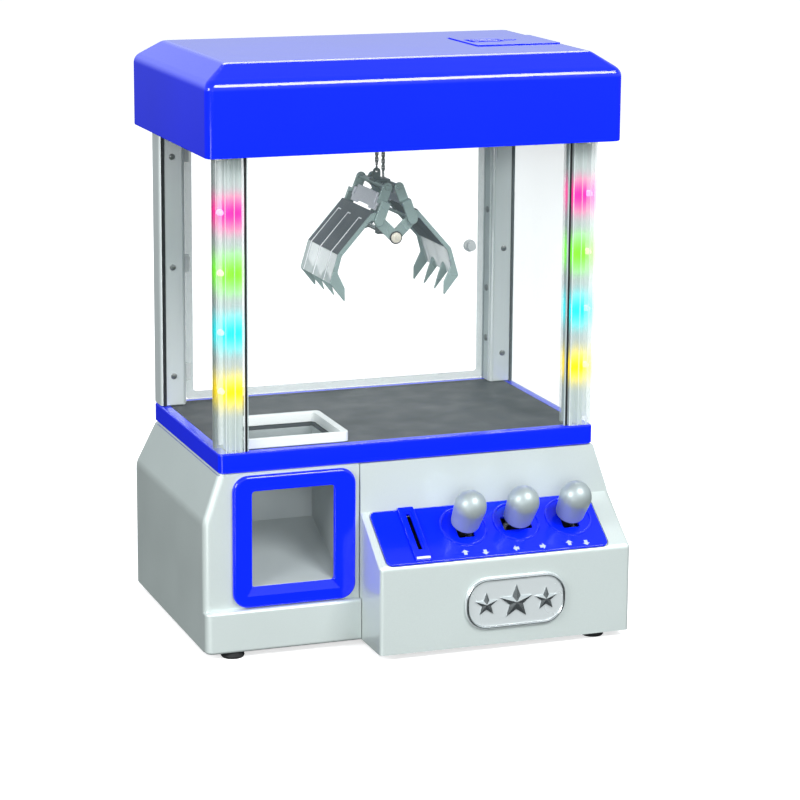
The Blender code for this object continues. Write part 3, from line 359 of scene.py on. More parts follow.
# A darker copy of the claw's grey-green: painted shade on the head's block and web, between the rods.
CLAW_PAINTED_SHADE = moulded("claw_green_painted_shade", (0.075, 0.100, 0.100), 0.36, 0.08, Metallic=0.3)
CLAW_LILAC = moulded("lilac_grey_plate", (0.74, 0.75, 0.82), 0.34)
CLAW_CLEAR = moulded("pale_smoke_plate", (0.84, 0.90, 0.90), 0.22, 0.05, Alpha=0.55)
WHITE_LINE = moulded("white_line", (0.88, 0.89, 0.92), 0.4)
ARROW_PAINT = moulded("pale_blue_print", (0.40, 0.46, 0.74), 0.45)
KNOB = painted_silver("satin_knob", (0.40, 0.46, 0.47), 0.42, 0.45)
CHROME = brushed_metal("plated_chrome", (0.78, 0.81, 0.82), 0.24, (0.05, 1.0, 1.0))
BADGE = painted_silver("satin_badge", (0.68, 0.73, 0.74), 0.26, 0.4)
STEEL = brushed_metal("bright_steel", (0.60, 0.61, 0.62), 0.22)
CHAIN_STEEL = brushed_metal("chain_steel", (0.22, 0.24, 0.25), 0.30, (1.0, 1.0, 1.0))
SCREW = brushed_metal("screw_steel", (0.36, 0.37, 0.37), 0.33, (1.0, 1.0, 1.0))
CREAM = moulded("cream_cap", (0.66, 0.62, 0.52), 0.3, 0.05, Metallic=0.2)
GEAR_WHITE = moulded("gear_white_plastic", (0.72, 0.72, 0.68), 0.42)
BOARD = moulded("circuit_board_green", (0.02, 0.16, 0.07), 0.4, 0.2)
LED_FINISHES = [
    lamp(f"lamp_{name}", tuple(0.5 + 0.5 * part for part in colour), 1.8)
    for name, colour in zip(LED_NAMES, LED_COLOURS)
]


# ---------------------------------------------------------------- outlines


def rounded_rectangle(low, high, radius, steps=6, shrink=0.0):
    """Its corner arcs, anticlockwise from the high corner, with every side moved in by shrink."""
    points = []
    left, front = low[0] + shrink + radius, low[1] + shrink + radius
    right, back = high[0] - shrink - radius, high[1] - shrink - radius
    for quarter, (x, y) in enumerate(((right, back), (left, back), (left, front), (right, front))):
        for step in range(steps + 1):
            angle = math.pi / 2 * (quarter + step / steps)
            points.append((x + radius * math.cos(angle), y + radius * math.sin(angle)))
    return points


def circle(radius, steps=32, centre=(0.0, 0.0)):
    angles = [2 * math.pi * step / steps for step in range(steps)]
    return [(centre[0] + radius * math.cos(a), centre[1] + radius * math.sin(a)) for a in angles]


def filleted(corners, steps=5):
    """A closed outline through (x, y, radius) corners, each rounded with an arc."""
    outline = []
    for index, (x, y, radius) in enumerate(corners):
        corner = Vector((x, y))
        before = (Vector(corners[index - 1][:2]) - corner).normalized()
        after = (Vector(corners[(index + 1) % len(corners)][:2]) - corner).normalized()
        half = before.angle(after) / 2
        if radius == 0.0:
            outline.append((x, y))
            continue
        middle = corner + (before + after).normalized() * (radius / math.sin(half))
        start = corner + before * (radius / math.tan(half)) - middle
        end = corner + after * (radius / math.tan(half)) - middle
        first = math.atan2(start.y, start.x)
        turn = (math.atan2(end.y, end.x) - first + math.pi) % (2 * math.pi) - math.pi
        for step in range(steps + 1):
            angle = first + turn * step / steps
            outline.append((middle.x + radius * math.cos(angle), middle.y + radius * math.sin(angle)))
    return outline


def level(outline, z):
    """A flat outline's points, all at one height."""
    return [(x, y, z) for x, y in outline]


def area(outline):
    pairs = zip(outline, outline[1:] + outline[:1])
    return sum(a[0] * b[1] - b[0] * a[1] for a, b in pairs) / 2


def inset(outline, distance):
    """An anticlockwise outline with each point moved inwards, so that its edges move by distance."""
    moved = []
    for index, point in enumerate(outline):
        here = Vector(point)
        run_in = (here - Vector(outline[index - 1])).normalized()
        run_out = (Vector(outline[(index + 1) % len(outline)]) - here).normalized()
        inward = Vector((-run_in.y - run_out.y, run_in.x + run_out.x)).normalized()
        lean = max(0.35, inward.dot(Vector((-run_in.y, run_in.x))))
        moved.append(tuple(here + inward * (distance / lean)))
    return moved


def mirrored(corners, side):
    """The outline for one side of the claw, still anticlockwise."""
    turned = [(side * corner[0], *corner[1:]) for corner in corners]
    return turned[::-1] if side < 0 else turned


def thick_line(points, low, high):
    """A closed strip along an open line, from low to high on its left."""
    sides = []
    for offset in (low, high):
        line = []
        for index, point in enumerate(points):
            here = Vector(point)
            runs = []
            if index > 0:
                runs.append((here - Vector(points[index - 1])).normalized())
            if index < len(points) - 1:
                runs.append((Vector(points[index + 1]) - here).normalized())
            normals = [Vector((-run.y, run.x)) for run in runs]
            across = sum(normals, Vector((0.0, 0.0))).normalized()
            line.append(tuple(here + across * (offset / across.dot(normals[0]))))
        sides.append(line)
    outline = sides[0] + sides[1][::-1]
    return outline if area(outline) > 0 else outline[::-1]


# ---------------------------------------------------------------- solids


class Solid:
    """Closed shapes gathered in one mesh, in millimetres."""

    def __init__(self, transform=FLAT):
        self.bm = bmesh.new()
        self.transform = transform

    def ring(self, points):
        return [self.bm.verts.new(self.transform @ Vector(point)) for point in points]

    def skin(self, first, second):
        for index in range(len(first)):
            after = (index + 1) % len(first)
            self.bm.faces.new((first[index], first[after], second[after], second[index]))

    def loft(self, rings):
        """Walls through rings of equally many points, capped at both ends."""
        loops = [self.ring(points) for points in rings]
        for first, second in zip(loops, loops[1:]):
            self.skin(first, second)
        self.bm.faces.new(loops[0][::-1])
        self.bm.faces.new(loops[-1])
        return self

    def hoop(self, rings):
        """Walls through rings that lead back to the first one: a shape with a hole through it."""
        loops = [self.ring(points) for points in rings]
        for first, second in zip(loops, loops[1:] + loops[:1]):
            self.skin(first, second)
        return self

    def slab(self, outline, low, high, edge=0.4, steps=3):
        """A flat piece of an outline with rounded rims."""
        outline = outline if area(outline) > 0 else outline[::-1]
        edge = min(edge, (high - low) / 2)
        rings = []
        for step in range(steps + 1):
            angle = math.pi / 2 * step / steps
            rings.append((edge * (1 - math.sin(angle)), low + edge * (1 - math.cos(angle))))
        rings += [(shrink, low + high - z) for shrink, z in rings[::-1]]
        return self.loft([level(inset(outline, shrink), z) for shrink, z in rings])

    def block(self, low, high, edge=0.4):
        return self.slab(rounded_rectangle(low[:2], high[:2], max(edge, 0.05), 2), low[2], high[2], edge, 2)

    def turned(self, profile, steps=32, along=FLAT):
        """A profile of (radius, height) turned about the local z, starting and ending on the axis."""
        before = self.transform
        self.transform = before @ along
        inner = [point for point in profile if point[0] > 0.0]
        self.loft([level(circle(radius, steps), height) for radius, height in inner])
        self.transform = before
        return self

    def rod(self, start, end, radius, steps=24, edge=0.25):
        """A round bar with slightly rounded ends."""
        line = Vector(end) - Vector(start)
        along = Matrix.Translation(start) @ line.to_track_quat("Z", "Y").to_matrix().to_4x4()
        edge = min(edge, radius / 2)
        length = line.length
        profile = [(radius - edge, 0.0), (radius - edge * 0.3, edge * 0.3), (radius, edge)]
        profile += [(wide, length - high) for wide, high in profile[::-1]]
        return self.turned(profile, steps, along)

    def torus(self, centre, radius, thick, stretch=0.0, along=FLAT, steps=12, sides=6):
        """A round ring, or a chain's link with straight sides when stretched along its own y."""
        before = self.transform
        self.transform = before @ Matrix.Translation(centre) @ along
        rings = []
        for step in range(steps):
            angle = 2 * math.pi * (step + 0.5) / steps
            out = Vector((math.cos(angle), math.sin(angle), 0.0))
            middle = out * radius + Vector((0.0, math.copysign(stretch, out.y), 0.0))
            loop = []
            for side in range(sides):
                turn = 2 * math.pi * side / sides
                loop.append(middle + out * (thick * math.cos(turn)) + Vector((0, 0, thick * math.sin(turn))))
            rings.append(loop)
        self.hoop(rings)
        self.transform = before
        return self


def bake(piece):
    """Applies the piece's modifiers."""
    depsgraph = bpy.context.evaluated_depsgraph_get()
    mesh = bpy.data.meshes.new_from_object(piece.evaluated_get(depsgraph))
    piece.modifiers.clear()
    piece.data = mesh


def combine(piece, solid, operation):
    """Adds or takes away another solid for good."""
    tool = to_object("tool", solid, None)
    modifier = piece.modifiers.new("combine", "BOOLEAN")
    modifier.operation = operation
    modifier.solver = "EXACT"
    modifier.use_self = True
    modifier.object = tool
    bpy.context.view_layer.update()
    bake(piece)
    bpy.data.objects.remove(tool)


def to_object(name, solid, finish):
    bmesh.ops.recalc_face_normals(solid.bm, faces=solid.bm.faces)
    mesh = bpy.data.meshes.new(name)
    solid.bm.to_mesh(mesh)
    solid.bm.free()
    mesh.transform(Matrix.Translation(CHAMBER * MM) @ Matrix.Scale(MM, 4))
    piece = bpy.data.objects.new(name, mesh)
    bpy.context.scene.collection.objects.link(piece)
    if finish:
        mesh.materials.append(finish)
    return piece


def smooth(piece, angle=32.0):
    """Smooth shading that keeps large faces flat and edges over the angle sharp."""
    piece.data.shade_smooth()
    piece.data.set_sharp_from_angle(angle=math.radians(angle))
    weighted = piece.modifiers.new("weighted", "WEIGHTED_NORMAL")
    weighted.keep_sharp = True
    weighted.mode = "FACE_AREA"


def place_piece(made, body, nodes, angle):
    """Puts a made piece on its body, standing for the CAD nodes named."""
    smooth(made, angle)
    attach(made, body)
    if nodes:
        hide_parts(*nodes)


def piece(name, solid, finish, body, slot, nodes=(), cut=(), add=None, angle=32.0):
    """A piece from a solid, with another one added and the cut ones taken away."""
    made = to_object(name, solid, finish)
    if add:
        combine(made, add, "UNION")
    for tool in cut:
        combine(made, tool, "DIFFERENCE")
    place_piece(made, body, nodes, angle)


def body_of(node):
    return frame["nodes"][node]["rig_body"]


def refined(node, finish, edge=0.3, angle=38.0):
    """A CAD node's own shape with welded facets and rounded edges, standing for it."""
    bm = bmesh.new()
    bm.from_mesh(frame["nodes"][node].data)
    bmesh.ops.remove_doubles(bm, verts=bm.verts, dist=1e-6)
    bmesh.ops.dissolve_limit(bm, angle_limit=math.radians(0.4), verts=bm.verts, edges=bm.edges)
    mesh = bpy.data.meshes.new(node)
    bm.to_mesh(mesh)
    bm.free()
    mesh.materials.append(finish)
    made = bpy.data.objects.new(f"{node}_finished", mesh)
    bpy.context.scene.collection.objects.link(made)
    if edge:
        bevel = made.modifiers.new("edges", "BEVEL")
        bevel.width = edge * MM
        bevel.segments = 2
        bevel.limit_method = "ANGLE"
        bevel.angle_limit = math.radians(angle)
        bake(made)
    place_piece(made, body_of(node), [node], angle)


def screw_head(solid, x, y, z, facing, radius=2.6):
    """A domed screw head that faces along the frame's z."""
    profile = [(radius, 0.0), (radius, 0.35), (radius * 0.86, 0.8), (radius * 0.5, 1.05), (0.05, 1.1)]
    solid.turned(profile, 24, Matrix.Translation((x, y, z)) @ facing)


# ---------------------------------------------------------------- stage


def build_camera():
    scene = bpy.context.scene
    flat = math.cos(CAMERA_RISE)
    back = Vector((math.sin(CAMERA_TURN) * flat, -math.cos(CAMERA_TURN) * flat, math.sin(CAMERA_RISE)))
    right = Vector((math.cos(CAMERA_TURN), math.sin(CAMERA_TURN), 0.0))
    up = back.cross(right)
    rolled_right = right * math.cos(CAMERA_ROLL) + up * math.sin(CAMERA_ROLL)
    rolled_up = up * math.cos(CAMERA_ROLL) - right * math.sin(CAMERA_ROLL)
    data = bpy.data.cameras.new("camera")
    data.lens = CAMERA_LENS
    data.shift_x, data.shift_y = CAMERA_SHIFT
    camera = bpy.data.objects.new("camera", data)
    scene.collection.objects.link(camera)
    turn = Matrix((rolled_right, rolled_up, back)).transposed().to_4x4()
    place = (Vector(CAMERA_AIM) + back * CAMERA_DISTANCE + CHAMBER) * MM
    camera.matrix_world = Matrix.Translation(place) @ turn
    scene.camera = camera


def build_lights():
    """Area lights. The front one isn't seen in reflections."""
    for name, place, size, power in LIGHTS:
        light = bpy.data.lights.new(name, "AREA")
        light.size = size * MM
        light.energy = power
        holder = bpy.data.objects.new(name, light)
        bpy.context.scene.collection.objects.link(holder)
        holder.location = Vector(place) * MM
        holder.rotation_euler = (LIGHT_AIM - Vector(place)).to_track_quat("-Z", "Y").to_euler()
        holder.visible_camera = False
        holder.visible_glossy = name != "front"


def build_floor():
    """White paper under the machine, which the machine neither mirrors nor takes light from."""
    bpy.ops.mesh.primitive_plane_add(size=40.0)
    floor = bpy.context.object
    floor.name = "studio_floor"
    floor.visible_glossy = False
    floor.visible_diffuse = False
    floor.visible_shadow = False
    paper = Finish("studio_paper", (0.75, 0.75, 0.75), 0.9)
    paper.vary_colour(2.0, 0.004)
    paper.set(Emission_Color=(1.0, 1.0, 1.0, 1.0), Emission_Strength=0.64)
    floor.data.materials.append(paper.material)


def build_world():
    """A studio sky: darkest below, brightest a little above the horizon, where the large reflectors stand."""
    world = bpy.data.worlds.new("studio")
    world.use_nodes = True
    nodes, links = world.node_tree.nodes, world.node_tree.links
    parts = nodes.new("ShaderNodeSeparateXYZ")
    links.new(nodes.new("ShaderNodeTexCoord").outputs["Generated"], parts.inputs[0])
    height = nodes.new("ShaderNodeMapRange")
    height.inputs["From Min"].default_value = -1.0
    links.new(parts.outputs["Z"], height.inputs["Value"])
    ramp = nodes.new("ShaderNodeValToRGB")
    links.new(height.outputs["Result"], ramp.inputs["Fac"])
    stops = ramp.color_ramp.elements
    stops[0].color = (0.06, 0.07, 0.075, 1.0)
    stops[1].color = (0.30, 0.31, 0.33, 1.0)
    for place, level in ((0.40, 0.05), (0.47, 0.20), (0.54, 0.60), (0.60, 0.86), (0.72, 0.62)):
        stops.new(place).color = (level * 0.90, level, level * 1.02, 1.0)
    links.new(ramp.outputs["Color"], nodes["Background"].inputs["Color"])
    return world


# ---------------------------------------------------------------- cabinet


def build_base():
    """The silver base: its walls lean in above the shoulder, with a soft crease there."""
    low, high = box("base_housing")
    half, back = high.x, high.y
    waist_high = box("waist_frame")[1]
    top = high.z
    front = box("prize_chute")[0].y

    def outline(z, wall):
        lean = max(0.0, z - SHOULDER_Z) / (top - SHOULDER_Z)
        side = half + (waist_high.x - half) * lean
        rear = back + (waist_high.y - back) * lean
        corner = max(CORNER - wall, 1.5)
        return level(rounded_rectangle((-side, front), (side, rear), corner, 6, wall), z)

    def softened(z, spread):
        """The outline near the crease, eased over the spread."""
        before, after = outline(z - spread, 0.0), outline(z + spread, 0.0)
        crease = outline(z, 0.0)
        rings = []
        for step in range(1, 6):
            t = step / 6
            weights = ((1 - t) ** 2, 2 * t * (1 - t), t * t)
            ring = []
            for trio in zip(before, crease, after):
                ring.append(tuple(sum(w * p[axis] for w, p in zip(weights, trio)) for axis in range(3)))
            rings.append(ring)
        return [before, *rings, after]

    bottom = low.z
    rings = [[(x * 0.996, y * 0.996, bottom) for x, y, z in outline(bottom, 0.0)], outline(bottom + 0.8, 0.0)]
    rings += softened(SHOULDER_Z, 3.0)
    rings += [outline(top - 0.9, 0.0), outline(top - 0.8, 1.1), outline(top, 1.1)]
    rings += [outline(z, WALL) for z in (top, SHOULDER_Z, bottom)]
    shell = Solid().hoop(rings)
    plinth = rounded_rectangle((-half, low.y), (0.0, front + 8.0), CORNER)
    ledge = Solid().slab(plinth, bottom, PLINTH_TOP, 2.0, 5)
    console_low, console_high = box("console_housing")
    port_low, port_high = box("prize_chute")
    drawer_low, drawer_high = box("coin_drawer")
    switch = box("power_switch")[0].x
    cuts = Solid()
    cuts.block((console_low.x - 0.4, -130.0, -10.0), (half + 20.0, console_high.y + 0.6, top + 9.0), 0.0)
    hollow = Solid()
    hollow.block((-half + WALL, front + WALL, -10.0), (0.0, front + 30.0, PLINTH_TOP - WALL), 0.0)
    hollow.block((port_low.x - 0.3, -100.0, 38.0), (port_high.x + 0.3, front + 5.0, 111.0), 0.0)
    inside, outside = back - 8.0, back + 8.0
    hollow.block((drawer_low.x - 0.4, inside, 6.2), (drawer_high.x + 0.4, outside, drawer_high.z + 0.4), 0.0)
    hollow.block((switch - 0.6, inside, 60.0), (switch + 9.4, outside, 66.0), 0.0)
    cut = [cuts, hollow]
    piece("base_shell", shell, SILVER, "cabinet", "silver_satin", ["base_housing"], cut, ledge, 24.0)


def build_console():
    """The silver console: its front's top edge and the side edges of its front and slope are rounded, and the
    panel lies in a pocket on its slope.
    """
    low, high = box("console_housing")
    waist = box("waist_frame")[1].x
    front_top = SLOPE_FOOT[2]
    profile = [
        (high.y, high.z),
        (CONSOLE_TOP_Y, high.z),
        (SLOPE_TOP[1], SLOPE_TOP[2]),
        (low.y, front_top),
        (low.y, low.z),
        (high.y, low.z),
    ]
    outer = Solid().loft([[(x, y, z) for y, z in profile] for x in (low.x, high.x)])
    bmesh.ops.recalc_face_normals(outer.bm, faces=outer.bm.faces)
    rounded = []
    for edge in outer.bm.edges:
        start, end = (vert.co for vert in edge.verts)
        on_side = abs(start.x - end.x) < 0.01 and max(start.y, end.y) < SLOPE_TOP[1] + 0.01
        on_top = max(start.y, end.y) < low.y + 0.01 and min(start.z, end.z) > front_top - 0.01
        if on_side or on_top:
            rounded.append(edge)
    bmesh.ops.bevel(
        outer.bm,
        geom=rounded,
        offset=CONSOLE_ROUND,
        segments=6,
        profile=0.5,
        affect="EDGES",
        clamp_overlap=True,
    )
    lean = Vector((high.z + 0.3 - SHOULDER_Z, 0.0, high.x - waist)).normalized()
    faces = outer.bm.verts[:] + outer.bm.edges[:] + outer.bm.faces[:]
    cut = bmesh.ops.bisect_plane(
        outer.bm, geom=faces, plane_co=(high.x, 0.0, SHOULDER_Z), plane_no=lean, clear_outer=True
    )
    rim = [edge for edge in cut["geom_cut"] if isinstance(edge, bmesh.types.BMEdge)]
    bmesh.ops.contextual_create(outer.bm, geom=rim)
    inside = [
        (high.y + 5.0, high.z + 3.0),
        (CONSOLE_TOP_Y + WALL, high.z + 3.0),
        (SLOPE_TOP[1] + WALL, SLOPE_TOP[2] - 1.6),
        (low.y + WALL, front_top - 1.6),
        (low.y + WALL, low.z - 3.0),
        (high.y + 5.0, low.z - 3.0),
    ]
    hollow = Solid().loft([[(x, y, z) for y, z in inside] for x in (low.x + WALL, waist - WALL - 6.0)])
    panel_low, panel_high = box("control_panel")
    outline = rounded_rectangle((panel_low.x - 0.9, 0.5 - SLOPE_LENGTH), (panel_high.x + 0.9, -0.1), 4.6)
    pocket = Solid(SLOPE).slab(outline, -1.3, 10.0, 0.0)
    window = Solid(SLOPE).block((-12.0, -40.0, -9.0), (113.0, -4.5, 0.5), 0.0)
    cuts = [hollow, pocket, window]
    piece("console_shell", outer, SILVER, "cabinet", "silver_satin", ["console_housing"], cuts, None, 24.0)


def build_waist():
    low, high = box("waist_frame")
    band = 6.2
    rings = []
    section = ((0.9, low.z), (0.0, low.z + 0.9), (0.0, high.z - 1.3), (0.4, high.z - 0.4), (1.3, high.z))
    for shrink, z in section:
        rings.append(level(rounded_rectangle(low, high, 3.5, 6, shrink), z))
    for z in (high.z, low.z):
        rings.append(level(rounded_rectangle(low, high, 1.0, 6, band), z))
    piece("waist_band", Solid().hoop(rings), BLUE, "cabinet", "blue_gloss", ["waist_frame"])


def build_canopy():
    """The blue top: a deep skirt, a chamfer all round and a flat roof, open below."""
    low, high = box("canopy_shell")
    half, deep = high.x, high.y
    rise = high.z - CANOPY_RIM

    def outline(shrink, z, corner):
        return level(rounded_rectangle((-half, -deep), (half, deep), corner, 8, shrink), z)

    def eased(corner_at, before, after, radius):
        """Rings round a bend of the wall, which runs between (shrink, z) points."""
        corner_point, first, last = Vector(corner_at), Vector(before), Vector(after)
        start = corner_point + (first - corner_point).normalized() * radius
        end = corner_point + (last - corner_point).normalized() * radius
        rings = []
        for step in range(9):
            t = step / 8
            point = start * (1 - t) ** 2 + corner_point * (2 * t * (1 - t)) + end * t * t
            rings.append(outline(point.x, point.y, 5.0 - 0.16 * point.x))
        return rings

    rim, roof, foot = (0.0, CANOPY_RIM), (CANOPY_INSET, high.z), (0.0, low.z)
    rings = [outline(WALL - 0.2, low.z + 0.9, 3.2), outline(WALL - 0.8, low.z, 4.0), outline(0.8, low.z, 4.4)]
    rings += [outline(0.2, low.z + 0.25, 4.9), outline(0.0, low.z + 0.9, 5.0)]
    rings += eased(rim, foot, roof, 4.2)
    rings += eased(roof, rim, (CANOPY_INSET + 40.0, high.z), 2.4)
    shell = Solid()
    loops = [shell.ring(points) for points in rings]
    for first, second in zip(loops, loops[1:]):
        shell.skin(first, second)
    shell.bm.faces.new(loops[-1])
    inner = [outline(WALL, CANOPY_RIM - 1.0, 2.6), outline(WALL + CANOPY_INSET, high.z - WALL, 2.0)]
    inner_loops = [loops[0], *(shell.ring(points) for points in inner)]
    for first, second in zip(inner_loops, inner_loops[1:]):
        shell.skin(second, first)
    shell.bm.faces.new(inner_loops[-1][::-1])
    door_low, door_high = box("battery_door")
    recess_low = (door_low.x - 0.7, door_low.y - 0.7, high.z - 2.2)
    recess = Solid().block(recess_low, (124.0, door_high.y + 0.7, high.z + 6.0), 0.0)
    well = Solid().block((64.0, -22.0, high.z - rise - 8.0), (113.0, 24.0, high.z + 4.0), 0.0)
    piece("canopy", shell, BLUE, "cabinet", "blue_gloss", ["canopy_shell"], [recess, well], None, 24.0)


def arrow(length, width, shaft):
    """A block arrow that points along +x from the origin's middle."""
    half, neck = length / 2, length * 0.02
    return [
        (-half, -shaft / 2),
        (neck, -shaft / 2),
        (neck, -width / 2),
        (half, 0.0),
        (neck, width / 2),
        (neck, shaft / 2),
        (-half, shaft / 2),
    ]


def build_battery_door():
    low, high = box("battery_door")
    top = high.z + 0.3
    door = Solid().slab(rounded_rectangle(low, high, 1.2, 6, 0.3), top - 1.6, top, 0.2)
    grip = Solid().slab(rounded_rectangle((64.0, -7.0), (87.0, 8.6), 1.5), top - 1.1, top + 2.0, 0.0)
    piece("battery_lid", door, BLUE, "battery_door", "blue_gloss", ["battery_door"], [grip])
    ridges = Solid()
    for index in range(3):
        y = -4.6 + 4.4 * index
        ridges.slab(rounded_rectangle((66.0, y), (85.0, y + 1.8), 0.85, 4), top - 1.3, top + 0.5, 0.5)
    ridges.transform = Matrix.Translation((93.5, 0.8, 0.0))
    ridges.slab(arrow(8.0, 7.0, 3.2), top - 0.2, top + 0.28, 0.12)
    piece("battery_lid_grip", ridges, BLUE, "battery_door", "blue_gloss")


def quarter_round(start, end, steps=8):
    """Points of a quarter circle between two points, bulging to the corner at (end x, start y)."""
    points = []
    for step in range(steps + 1):
        angle = math.pi / 2 * step / steps
        x = start[0] + (end[0] - start[0]) * math.sin(angle)
        points.append((x, end[1] + (start[1] - end[1]) * math.cos(angle)))
    return points


def build_bezel():
    """The frame round the prize opening, with a wide chamfer inside its lower edge."""
    low, high = box("prize_bezel")
    thick = high.y - low.y
    rings = []
    for depth, shrink in [(0.0, 0.0), *quarter_round((thick - 1.9, 0.0), (thick, 1.9))]:
        ring = rounded_rectangle((low.x, low.z), (high.x, high.z), 10.0 - shrink, 8, shrink)
        rings.append(level(ring, depth))
    for depth, grow in [*quarter_round((thick - 1.0, 0.0), (thick, 1.0))[::-1], (0.0, 0.0)]:
        rings.append(level(rounded_rectangle(PORT_LOW, PORT_HIGH, 2.0 + grow, 8, -grow), depth))
    ring_frame = Solid(Matrix.Translation((0.0, high.y, 0.0)) @ FACING_FRONT).hoop(rings)
    front, rear, foot, sill = low.y - 1.0, high.y - 0.6, PORT_LOW[1] - LIP_DROP, PORT_LOW[1] + 0.6
    ends = []
    for x, side in ((PORT_LOW[0], -1), (PORT_HIGH[0], 1)):
        ends.append([(x + side * LIP_SPLAY, front, foot), (x, rear, sill), (x, front, sill)])
    lip = Solid().loft(ends)
    piece("prize_frame", ring_frame, BLUE, "cabinet", "blue_gloss", ["prize_bezel"], [lip], angle=13.0)


def build_panel():
    """The blue control panel, its lever holes and coin slot, and what is raised on it."""
    low, high = box("control_panel")
    top = PANEL_TOP
    outline = rounded_rectangle((low.x, 1.3 - SLOPE_LENGTH), (high.x, -0.9), 3.9, 8)
    plate = Solid(SLOPE).slab(outline, top - 1.8, top, 0.6, 4)
    holes = Solid(SLOPE)
    for index, x in enumerate(LEVER_X):
        wide, tall = (9.5, 5.5) if index == 1 else (5.5, 8.0)
        holes.block((x - wide, LEVER_Y - tall, -5.0), (x + wide, LEVER_Y + tall, 5.0), 0.6)
    holes.block((-6.4, -35.4, -5.0), (-2.2, -5.0, 5.0), 0.6)
    piece("control_face", plate, BLUE, "cabinet", "blue_gloss", ["control_panel"], [holes])
    rings = Solid(SLOPE)
    for x in LEVER_X:
        rings.torus((x, LEVER_Y + 0.6, top), 14.7, 0.75, steps=64, sides=10)
    piece("lever_rings", rings, BLUE, "cabinet", "blue_gloss")
    strip = Solid(SLOPE).slab(rounded_rectangle((-9.9, -43.7), (0.6, -0.6), 0.8), top + 0.02, top + 1.9, 0.45)
    strip_cut = Solid(SLOPE)
    strip_cut.slab(rounded_rectangle((-5.8, -34.8), (-2.8, -5.6), 0.8), -5.0, 9.0, 0.0)
    strip_cut.slab(rounded_rectangle((-7.3, -36.4), (-1.6, -4.6), 1.2), top + 1.3, 9.0, 0.0)
    piece("coin_strip", strip, BLUE, "cabinet", "blue_gloss", ["coin_slot_bezel"], [strip_cut])
    lip = Solid(SLOPE).slab(rounded_rectangle((-9.2, -42.7), (-0.1, -41.0), 0.6), top + 1.7, top + 2.5, 0.35)
    piece("coin_strip_lip", lip, PALE_GREY, "cabinet", "blue_gloss")
    marks = Solid()
    places = (
        (24.0, -39.3, 90.0),
        (37.1, -40.7, -90.0),
        (57.8, -40.0, 180.0),
        (75.7, -40.4, 0.0),
        (93.8, -39.6, 90.0),
        (105.0, -40.9, -90.0),
    )
    for x, y, turn in places:
        place = SLOPE @ Matrix.Translation((x, y, 0.0))
        marks.transform = place @ Matrix.Rotation(math.radians(turn), 4, "Z")
        marks.slab(arrow(4.0, 4.8, 2.2), top - 0.05, top + 0.09, 0.04, 1)
    piece("direction_arrows", marks, ARROW_PAINT, "cabinet", "blue_gloss")


def build_levers():
    """Black stems with a collar, and satin knobs that widen towards their domes."""
    for index, (name, x) in enumerate(zip(("forward_back", "left_right", "up_down"), LEVER_X)):
        pivot = SLOPE @ Matrix.Translation((x, LEVER_Y, LEVER_PIVOT))
        lever = Solid(pivot)
        lever.turned([(3.0, -2.6), (3.0, 8.0), (3.9, 11.0), (3.9, 13.0), (3.3, 17.2)], 28)
        cross = (0.0, 9.4, 0.0) if index == 1 else (9.4, 0.0, 0.0)
        lever.rod([-part for part in cross], cross, 1.5)
        body = body_of(f"lever_stem_{name}")
        piece(f"lever_shaft_{name}", lever, BLACK, body, "black_plastic", [f"lever_stem_{name}"])
        wide, low, high = 10.15, 17.5, 43.5
        profile = [(0.05, low + 0.6), (6.8, low + 0.6), (7.6, low), (8.5, low), (9.0, low + 0.3)]
        profile.append((9.2, low + 1.0))
        profile += [(9.2 + 0.95 * step / 6, low + 1.0 + 14.0 * step / 6) for step in range(1, 7)]
        for step in range(1, 15):
            angle = math.pi / 2 * step / 15
            profile.append((wide * math.cos(angle), high - wide - 1.0 + (wide + 1.0) * math.sin(angle)))
        profile.append((0.05, high))
        knob = Solid(pivot).turned(profile, 56)
        piece(f"lever_cap_{name}", knob, KNOB, body, "knob_silver", [f"lever_knob_{name}"], angle=50.0)


def star(outer, inner, centre, points=5):
    corners = []
    for step in range(2 * points):
        angle = math.pi / 2 + math.pi * step / points
        radius = outer if step % 2 == 0 else inner
        corners.append((centre[0] + radius * math.cos(angle), centre[1] + radius * math.sin(angle)))
    return corners


def faceted_star(solid, outer, centre, low, high):
    """A star whose facets rise from its outline to a point over its middle."""
    outline = star(outer, outer * 0.42, centre)
    foot = solid.ring([(x, y, low) for x, y in outline])
    edge = solid.ring([(x, y, low + 0.7) for x, y in outline])
    solid.skin(foot, edge)
    solid.bm.faces.new(foot[::-1])
    (tip,) = solid.ring([(*centre, high)])
    for index, corner in enumerate(edge):
        solid.bm.faces.new((corner, edge[(index + 1) % len(edge)], tip))


def build_badge():
    """A plain satin badge with a plated rim and three faceted stars."""
    low, high = box("emblem_badge")
    front = -low.y
    place = Solid(FACING_FRONT)
    corner = 15.0
    outline = rounded_rectangle((low.x, low.z), (high.x, high.z), corner, 12)
    place.slab(outline, -high.y, front - 0.5, 0.5, 4)
    piece("badge_plate", place, BADGE, "cabinet", "chrome", ["emblem_badge"])
    rim = Solid(FACING_FRONT)
    rings = []
    section = ((0.9, -0.6), (0.9, 0.1), (1.2, 0.45), (1.7, 0.6), (2.2, 0.45), (2.5, 0.1), (2.5, -0.6))
    for shrink, depth in section:
        rings.append(level(inset(outline, shrink), front + depth))
    rim.hoop(rings)
    piece("badge_rim", rim, CHROME, "cabinet", "chrome")
    stars = Solid(FACING_FRONT)
    middle = ((low.x + high.x) / 2, (low.z + high.z) / 2)
    for shift, size in ((-20.0, 7.8), (0.0, 11.4), (20.0, 7.8)):
        centre = (middle[0] + shift, middle[1] - 0.3)
        faceted_star(stars, size, centre, front - 0.6, front + 0.1 + 0.11 * size)
    piece("badge_stars", stars, CHROME, "cabinet", "chrome", angle=6.0)


# ---------------------------------------------------------------- play chamber


